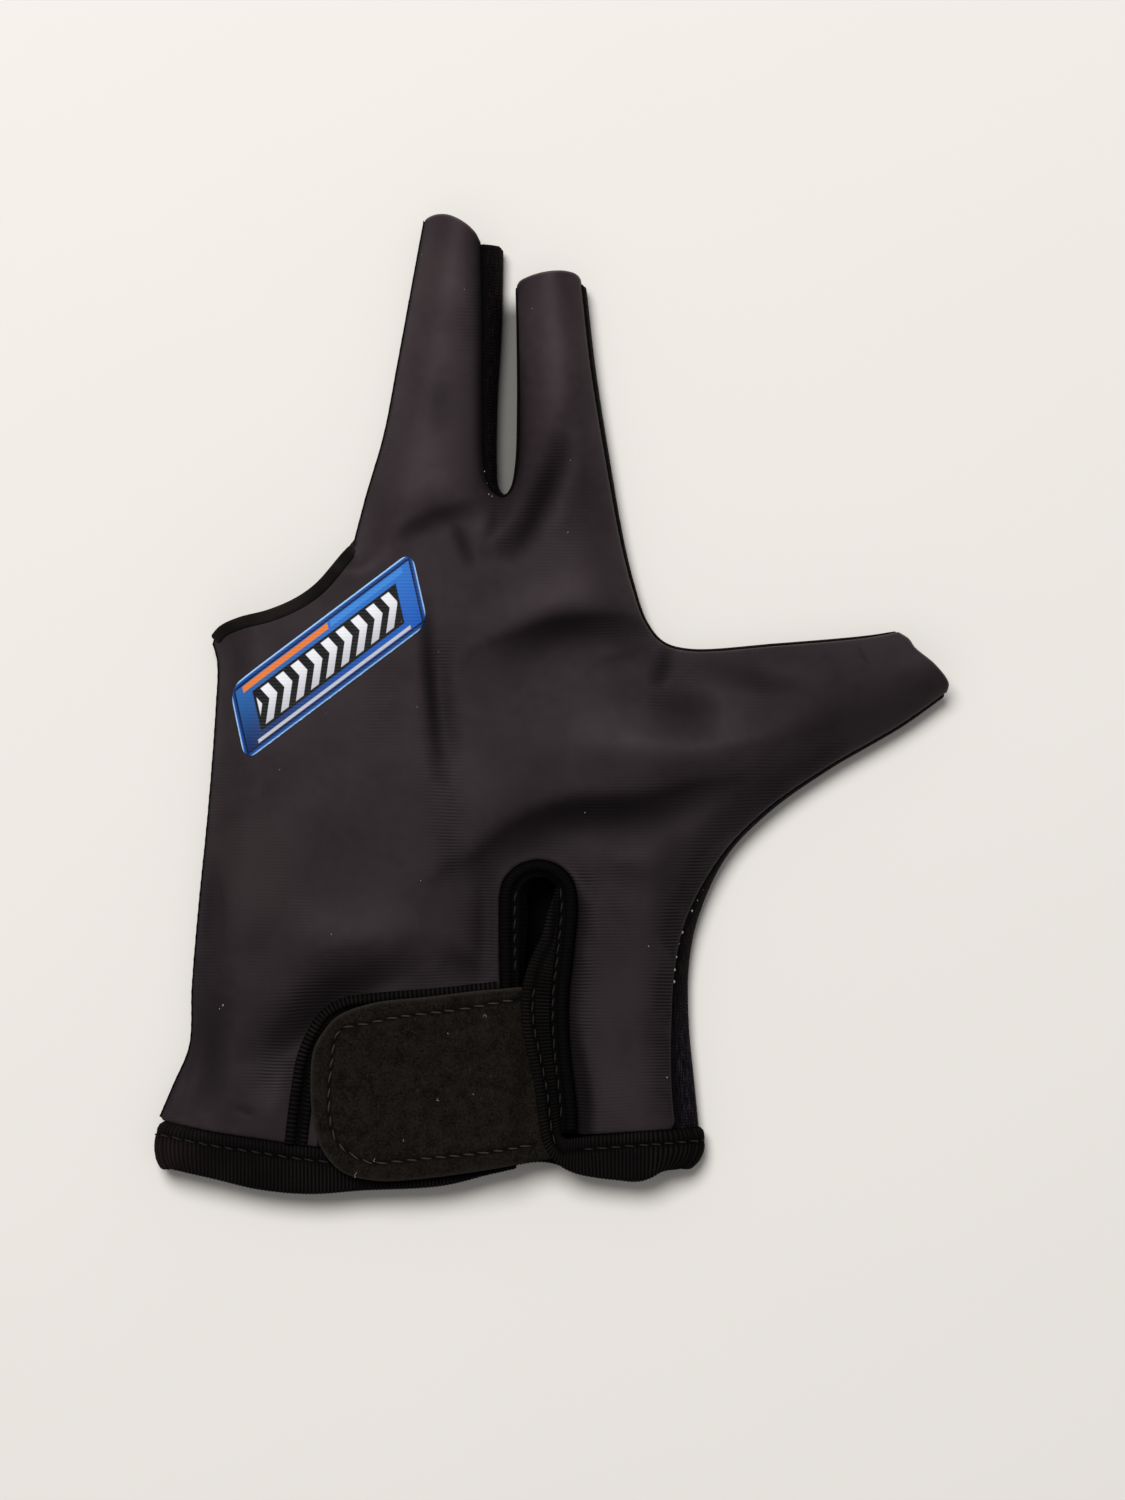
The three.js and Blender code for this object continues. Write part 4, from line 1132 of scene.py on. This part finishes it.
def makeCuff():
    band, shares = cuffBand(), np.linspace(0, 1, cuff["rows"])
    x, y = band[:, 0], band[:, 1]
    onBand = 1 - smooth((x + 1) / 9) * (y < -90)
    thickness = cuff["thickness"] + (cuff["bandThickness"] - cuff["thickness"]) * onBand
    grid = cuffGrid(band, thickness, shares)
    rest = len(grid) - len(band)
    width = np.linalg.norm(grid[:, -1] - grid[:, 0], axis=1)
    onBand = np.concatenate([onBand, np.zeros(rest)])
    bandSeam = smooth((onBand - 0.55) / 0.3)
    at = cuff["seamIn"] * (1 - bandSeam) + (width - cuff["bandSeamOut"]) * bandSeam
    groove = {"at": at, "width": cuff["grooveWidth"], "depth": cuff["grooveDepth"]}
    thickness = np.concatenate([thickness, np.full(rest, cuff["thickness"])])
    skin, outer, normal = bandSkin(grid, thickness, cuff, groove=groove, inside=-1)
    fading = np.repeat(0.9 - 0.1 * (1 - onBand), len(skin[2]) // len(grid))
    piece("cuff", (*skin[:2], skin[2] * fading), tapeFinish, "ribbed_tape", "cuff_tape")

    overTab, onHem = np.flatnonzero((y < -60.5) & (x < 0.8)), np.flatnonzero((x > 6.2) & (y < -95))
    for name, first, last in (("band", overTab[0], overTab[-1] - 1), ("hem", onHem[0], len(grid) - 2)):
        rows = range(first, last, 3)
        line = [[np.interp(at[i] / width[i], shares, outer[i, :, k]) for k in range(3)] for i in rows]
        ups = normal[first:last:3, 3]
        piece(name + "Stitches", stitchRow(np.array(line) + ups * 0.02, ups), darkThread, "ribbed_tape")


makeCuff()
print("cuff made")


# the tape round the slit
def slitHeight(a, wide):  # the tape dips to its inner edge where it is wide
    inward = np.clip((a - 3.7) / np.maximum(wide - 3.7, 0.3), 0, 1)
    dip = slit["dip"] * smooth(inward) * smooth((wide - 4.1) / 0.8)
    return rollTop(a, slit) - dip - slit["grooveDepth"] * bell(wide - a, 0.3)


def makeSlitTape():
    outer, inner = slitCurve[:, :2], slitCurve[:, 2:]
    wide = np.linalg.norm(inner - outer, axis=1)
    fromEnd = np.minimum(runOf(outer), runOf(outer)[::-1])
    closing = np.sqrt(1 - np.clip(1 - fromEnd / slit["closing"], 0, 1) ** 2)
    stops = [0, 0.12, 0.35, 0.7, 1.25, 1.8, 2.15, 2.38, 2.5, 2.8, 3.05, 3.3, 3.55, slit["flat"]]
    stops += [slit["flat"] + (wide - slit["flat"]) * share for share in np.linspace(0.12, 1, 7)]
    height = lambda a: slitHeight(a, wide) * closing - 0.2 * (1 - closing)
    points, faces, shade = rolledStrip(outer, inner, stops, height, slit)
    # shade lowered all over: the slit tape darker, with fainter rib marks
    piece("slitTape", (points, faces, shade * 0.4 - 0.45), tapeFinish, "ribbed_tape", "slit_tape")
    across = (inner - outer) / wide[:, None]
    seat = outer + across * slit["seamIn"]
    onLeft, beforeEnd = outer[:, 0] < -3, np.arange(len(outer)) < len(outer) - 8
    rows = []
    for shown in (onLeft & (outer[:, 1] > -59), (outer[:, 0] > -3) & beforeEnd):  # the tab hides the rest
        p = seat[shown & (outer[:, 1] < -37.6)][::3]
        z = backTop(p) + slit["proud"] - slit["grooveDepth"] + 0.05
        rows.append(stitchRow(np.column_stack([p, z]), np.tile([0.0, 0.0, 1.0], (len(p), 1))))
    piece("slitStitches", joinedSkins(rows), darkThread, "ribbed_tape")


makeSlitTape()
print("slit made")

# the patch under the tab, with its own tape
patchTape = {
    "width": 6.3, "thickness": 0.3, "pitch": 1.0, "depth": 0.13, "roll": 2.3, "rollHeight": 1.0,
    "seamIn": 2.9, "proud": 0.35, "grooveDepth": 0.25,
}
patch = {"inset": 0.8, "right": -13.5, "spacing": 1.1, "pile": 0.12, "top": 1.15, "bottom": 0.3}
patchEdge = [
    (-58.5, -97), (-57, -85), (-55.4, -76.3), (-52.4, -69.6), (-50, -66.6), (-45.2, -64), (-37.6, -62.9),
    (-25, -61.9), (-11.9, -60.5),
]


def makePatch():
    line = curveThrough(patchEdge, 0.24)[:, :2]
    line = line[line[:, 1] > np.interp(line[:, 0], *cuffTop.T) + 0.2]
    stops = [0, 0.1, 0.3, 0.65, 1.15, 1.65, 2.0, 2.2, 2.3, 2.6, 2.9, 3.2, 4.0, 5.0]
    inner = inset(line, patchTape["width"])
    points, faces, shade = rolledStrip(line, inner, stops, lambda a: rollTop(a, patchTape), patchTape)
    # stronger rib marks: brighter painted highlight on the crests, deeper painted shade in the troughs
    piece("patchTape", (points, faces, shade * 1.3), tapeFinish, "ribbed_tape", "patch_tape")

    inner = inset(line, patchTape["width"] + patch["inset"])
    inner = respaced(inner[inner[:, 0] < patch["right"]], 1.0)
    wrist = respaced(cuffTop[::-1], 1.0) + [0, 0.3]
    wrist = wrist[(wrist[:, 0] < patch["right"] + 0.5) & (wrist[:, 0] > inner[0, 0] + 0.6)]
    points, faces, away = cutSheet(cleaned(np.vstack([inner, wrist])), patch["spacing"])
    surface = backTop(points)
    pile = rng.uniform(-patch["pile"], patch["pile"], len(points))
    upper = surface + patch["top"] + pile - rounded(away, 0.5)
    skin = thick(points, faces, upper, surface + patch["bottom"])
    piece("loopPatch", skin, loopFinish, "loop_pile", "loop_patch")


makePatch()

# the closure tab
tab = {
    "thickness": 1.5, "spacing": 0.62, "rest": 1.85, "sink": 2.15, "grooveWidth": 0.5, "grooveDepth": 0.35,
    "pile": 0.045, "highlightWidth": 0.45, "rounding": 0.6, "uneven": 0.2,
}
tabEdge = [
    (0.4, -99.3), (-4.6, -100), (-16, -101.9), (-29.3, -103.6), (-38.5, -103.9), (-45.6, -102),
    (-50, -97), (-52, -90), (-52.4, -83), (-51.8, -75.5), (-49.6, -71.3), (-46.6, -68), (-39.4, -65.2),
    (-26, -63.6), (-12.5, -62.1), (-5, -62.2), (-5.4, -66), (-4.9, -71), (-4, -76), (-3, -81),
    (-2.2, -86), (-1.6, -91), (-1, -95),
]
tabStitches = [
    (-3.4, -96.2), (-12.5, -97.5), (-19.1, -98.3), (-26, -98.9), (-32.8, -99.6), (-39.4, -99.9),
    (-44.4, -97.6), (-46.9, -95), (-48.2, -90.2), (-48.4, -84), (-47.7, -77), (-46.9, -72.4),
    (-45.6, -70.7), (-39.4, -69.4), (-34.1, -68.2), (-26, -67.2), (-19.1, -66.3), (-11.4, -64.9),
    (-7.2, -64.2),
]


def tabTop(points, row):  # the tab's lower and upper surface, and the groove along its stitches
    surface = glove["edgeHeight"] + crown(points)[1] + tab["uneven"] * unevenness(points)
    under = surface + tab["rest"] - tab["sink"] * smooth((points[:, 0] + 9.8) / 5)
    groove = bell(lineDistance(points, row)[0], tab["grooveWidth"])
    return under, under + tab["thickness"] - tab["grooveDepth"] * groove, groove


def makeTab():
    edge = curveThrough(tabEdge + tabEdge[:1], 0.6)[:-1, :2]
    row = curveThrough(tabStitches, 0.7)[:, :2]
    points, faces, away = cutSheet(cleaned(edge, 0.3), tab["spacing"], roundAt=(0, 0.15, 0.45))
    under, over, groove = tabTop(points, respaced(row, 2.0))
    pile = rng.normal(0, tab["pile"], len(points))
    skin = thick(points, faces, over + pile - rounded(away, tab["rounding"]), under)
    # painted highlight along the tab's edge, painted shade in the groove along its stitches
    rim = bell(away, tab["highlightWidth"]) * (points[:, 0] < -6)
    shade = np.concatenate([rim - groove, rim * 0.6])
    piece("closureTab", (*skin, shade), feltFinish, "felt", "closure_tab")
    z = tabTop(row, respaced(row, 2.0))[1]
    ups = np.tile([0.0, 0.0, 1.0], (len(row), 1))
    rows = stitchRow(np.column_stack([row, z + 0.05]), ups, pitch=3.2, length=2.5, radius=0.22, slant=0.4)
    piece("tabStitches", rows, tabThread, "felt")


makeTab()
print("tab made")


def makeBadge():
    l, w, r = badge["length"] / 2, badge["width"] / 2, badge["corner"]
    corners = []
    centres = ((l - r, w - r, 90), (l - r, r - w, 0), (r - l, r - w, -90), (r - l, w - r, -180))
    for cx, cy, start in centres:
        for a in np.radians(np.linspace(start, start - 90, 7)):
            corners.append((cx + r * math.cos(a), cy + r * math.sin(a)))
    flat = np.array(corners)
    flat[:, 0] += flat[:, 1] * badge["slant"]
    c, s = math.cos(math.radians(badge["turn"])), math.sin(math.radians(badge["turn"]))
    spun = flat @ np.array([[c, s], [-s, c]]) + [badge["x"], badge["y"]]
    outline = cleaned(respaced(np.vstack([spun, spun[:1]]), badge["outlineStep"])[:-1], 0.3)
    points, faces, away = cutSheet(outline, badge["spacing"], roundAt=(0, 0.15, 0.4))
    surface = backTop(points)
    upper = surface + badge["top"] - rounded(away, badge["rounding"])
    skin = thick(points, faces, upper, surface + badge["bottom"])
    piece("badge", skin, printFinish, "printed_film", "printed_badge")


makeBadge()

# thread that shows at the mesh seams, and loose fibres
seamDots = [  # x, y, size
    (33.4, -40.6, 0.5), (32.1, -42.9, 0.7), (30.9, -45.2, 1.1), (28.8, -49.9, 1.1), (28.1, -52.4, 0.3),
    (27.5, -55.3, 0.8), (27.1, -58.1, 1.1), (27, -60.7, 1.1), (-14.6, 51.2, 0.6), (-14, 48.6, 0.3),
    (-13.6, 46.1, 0.6), (-12.9, 45.7, 0.5),
]
clothSpecks = [  # x, y, size
    (-71.8, -65.8, 0.9), (-72.6, -66.6, 0.5), (-47.9, -50.1, 0.5), (-28.4, -38.4, 0.4),
    (-24.5, 11.5, 0.35), (-29.2, -0.5, 0.35), (-59.1, -14.2, 0.4), (21.3, -52.8, 0.6), (25.4, -81.6, 0.6),
    (4.2, 53.3, 0.35), (3.7, 37.5, 0.55), (-4.1, 86.7, 0.35), (-18.9, 90.6, 0.3), (-28.4, 98.8, 0.3),
    (7.4, -23.6, 0.5),
]
fibres = {  # x, y, size; curled ones and straighter ones
    "curls": [(-14.3, -67.9, 0.42), (-22.4, -71.6, 0.16), (-16.9, -84.9, 0.16), (-32.1, -95.0, 0.22)],
    "hairs": [(-42.9, -103.4, 1.7), (-38.6, -99.9, 1.1), (-24.5, -86.5, 0.8)],
    "girth": 0.05, "points": 14,
}


def makeSeamDots():
    skins = []
    for x, y, size in seamDots + clothSpecks:
        line = np.linspace([x - 0.05, y - 0.3 * size], [x + 0.05, y + 0.3 * size], 7)
        seat = np.column_stack([line, clothTop(line) - 0.05])
        skins.append(bead(seat, np.tile([0.3, 0.0, 0.95], (7, 1)), 0.16 * size + 0.05, 0, 0))
    piece("seamThread", joinedSkins(skins), seamWhite, "mesh_cloth")


def makeFibres():
    skins = []
    for x, y, size in fibres["curls"] + fibres["hairs"]:
        t = np.linspace(0, 1, fibres["points"])
        a = t * rng.uniform(3.5, 5.2) + rng.uniform(0, 6)
        path = np.column_stack([np.cos(a), np.sin(a)]) * size * (0.5 + 0.5 * t[:, None])
        if (x, y, size) in fibres["hairs"]:
            bend = np.column_stack([np.sin(t * 7), np.cos(t * 5)]) * 0.2
            path = np.column_stack([t * rng.uniform(-0.5, 0.5), t * 0.8]) * size + bend
        p = path + [x, y]
        over = tabTop(p, np.array(tabStitches))[1]
        centre = np.column_stack([p, over + 0.10 + 0.12 * np.sin(t * 3)])
        along = unit(np.gradient(centre, axis=0))
        side = unit(np.cross(along, [0, 0, 1.0]))
        skins.append(tube(centre, side, np.cross(side, along), fibres["girth"], 4))
    piece("lintFibres", joinedSkins(skins), seamWhite, "felt")


makeSeamDots()
makeFibres()
print("small things made")

# camera, light and floor
view = {"x": 2.53, "y": -9.9, "height": 0.9, "tall": 0.330, "plane": 0.004}
camera = bpy.data.objects.new("camera", bpy.data.cameras.new("camera"))
bpy.context.collection.objects.link(camera)
camera.location = (view["x"] * 0.001, view["y"] * 0.001, view["height"])
camera.data.sensor_fit = "VERTICAL"
camera.data.sensor_height = 36.0
camera.data.lens = 36.0 * (view["height"] - view["plane"]) / view["tall"]
camera.data.clip_start = 0.01
bpy.context.scene.camera = camera

studio = {
    "floor": (0.80, 0.765, 0.722), "floorSize": 3.0, "floorZ": -0.00025, "world": 0.27,
    "key": 54.0, "keyPlace": (-0.50, 1.05, 2.05), "keySize": 1.25, "gapShade": 0.83,
    "shaded": (0.030, 0.028, 0.025),
}


def makeFloor():
    size, z = studio["floorSize"], studio["floorZ"]
    plane = bpy.data.meshes.new("floor")
    corners = [(x * size, y * size, z) for x, y in ((-1, -1), (1, -1), (1, 1), (-1, 1))]
    plane.from_pydata(corners, [], [(0, 1, 2, 3)])
    made = bpy.data.objects.new("floor", plane)
    bpy.context.collection.objects.link(made)
    m = Finish("paleFloor", Roughness=0.75, Specular_IOR_Level=0.2)
    base = m.mix(m.noise(0.01), studio["floor"], tuple(c * 0.985 for c in studio["floor"]))
    across = m.x.within(-17, -13.5) * (1 - m.x.within(-5.5, -1))
    gap = across * (1 - m.y.within(85.5, 91.5)) * m.y.within(36, 46)  # shaded by the two fingers
    m.color(m.mix(gap * studio["gapShade"], base, studio["shaded"]))
    plane.materials.append(m.material)


def makeLight():
    data = bpy.data.lights.new("key", "AREA")
    data.shape, data.size, data.energy = "DISK", studio["keySize"], studio["key"]
    made = bpy.data.objects.new("key", data)
    bpy.context.collection.objects.link(made)
    made.location = studio["keyPlace"]
    made.rotation_euler = (-Vector(studio["keyPlace"])).to_track_quat("-Z", "Y").to_euler()
    world = bpy.data.worlds.new("studio")
    world.use_nodes = True
    world.node_tree.nodes["Background"].inputs[0].default_value = (1, 1, 1, 1)
    world.node_tree.nodes["Background"].inputs[1].default_value = studio["world"]
    bpy.context.scene.world = world
    bpy.context.scene.view_settings.view_transform = "Standard"


makeFloor()
makeLight()
print("scene made")
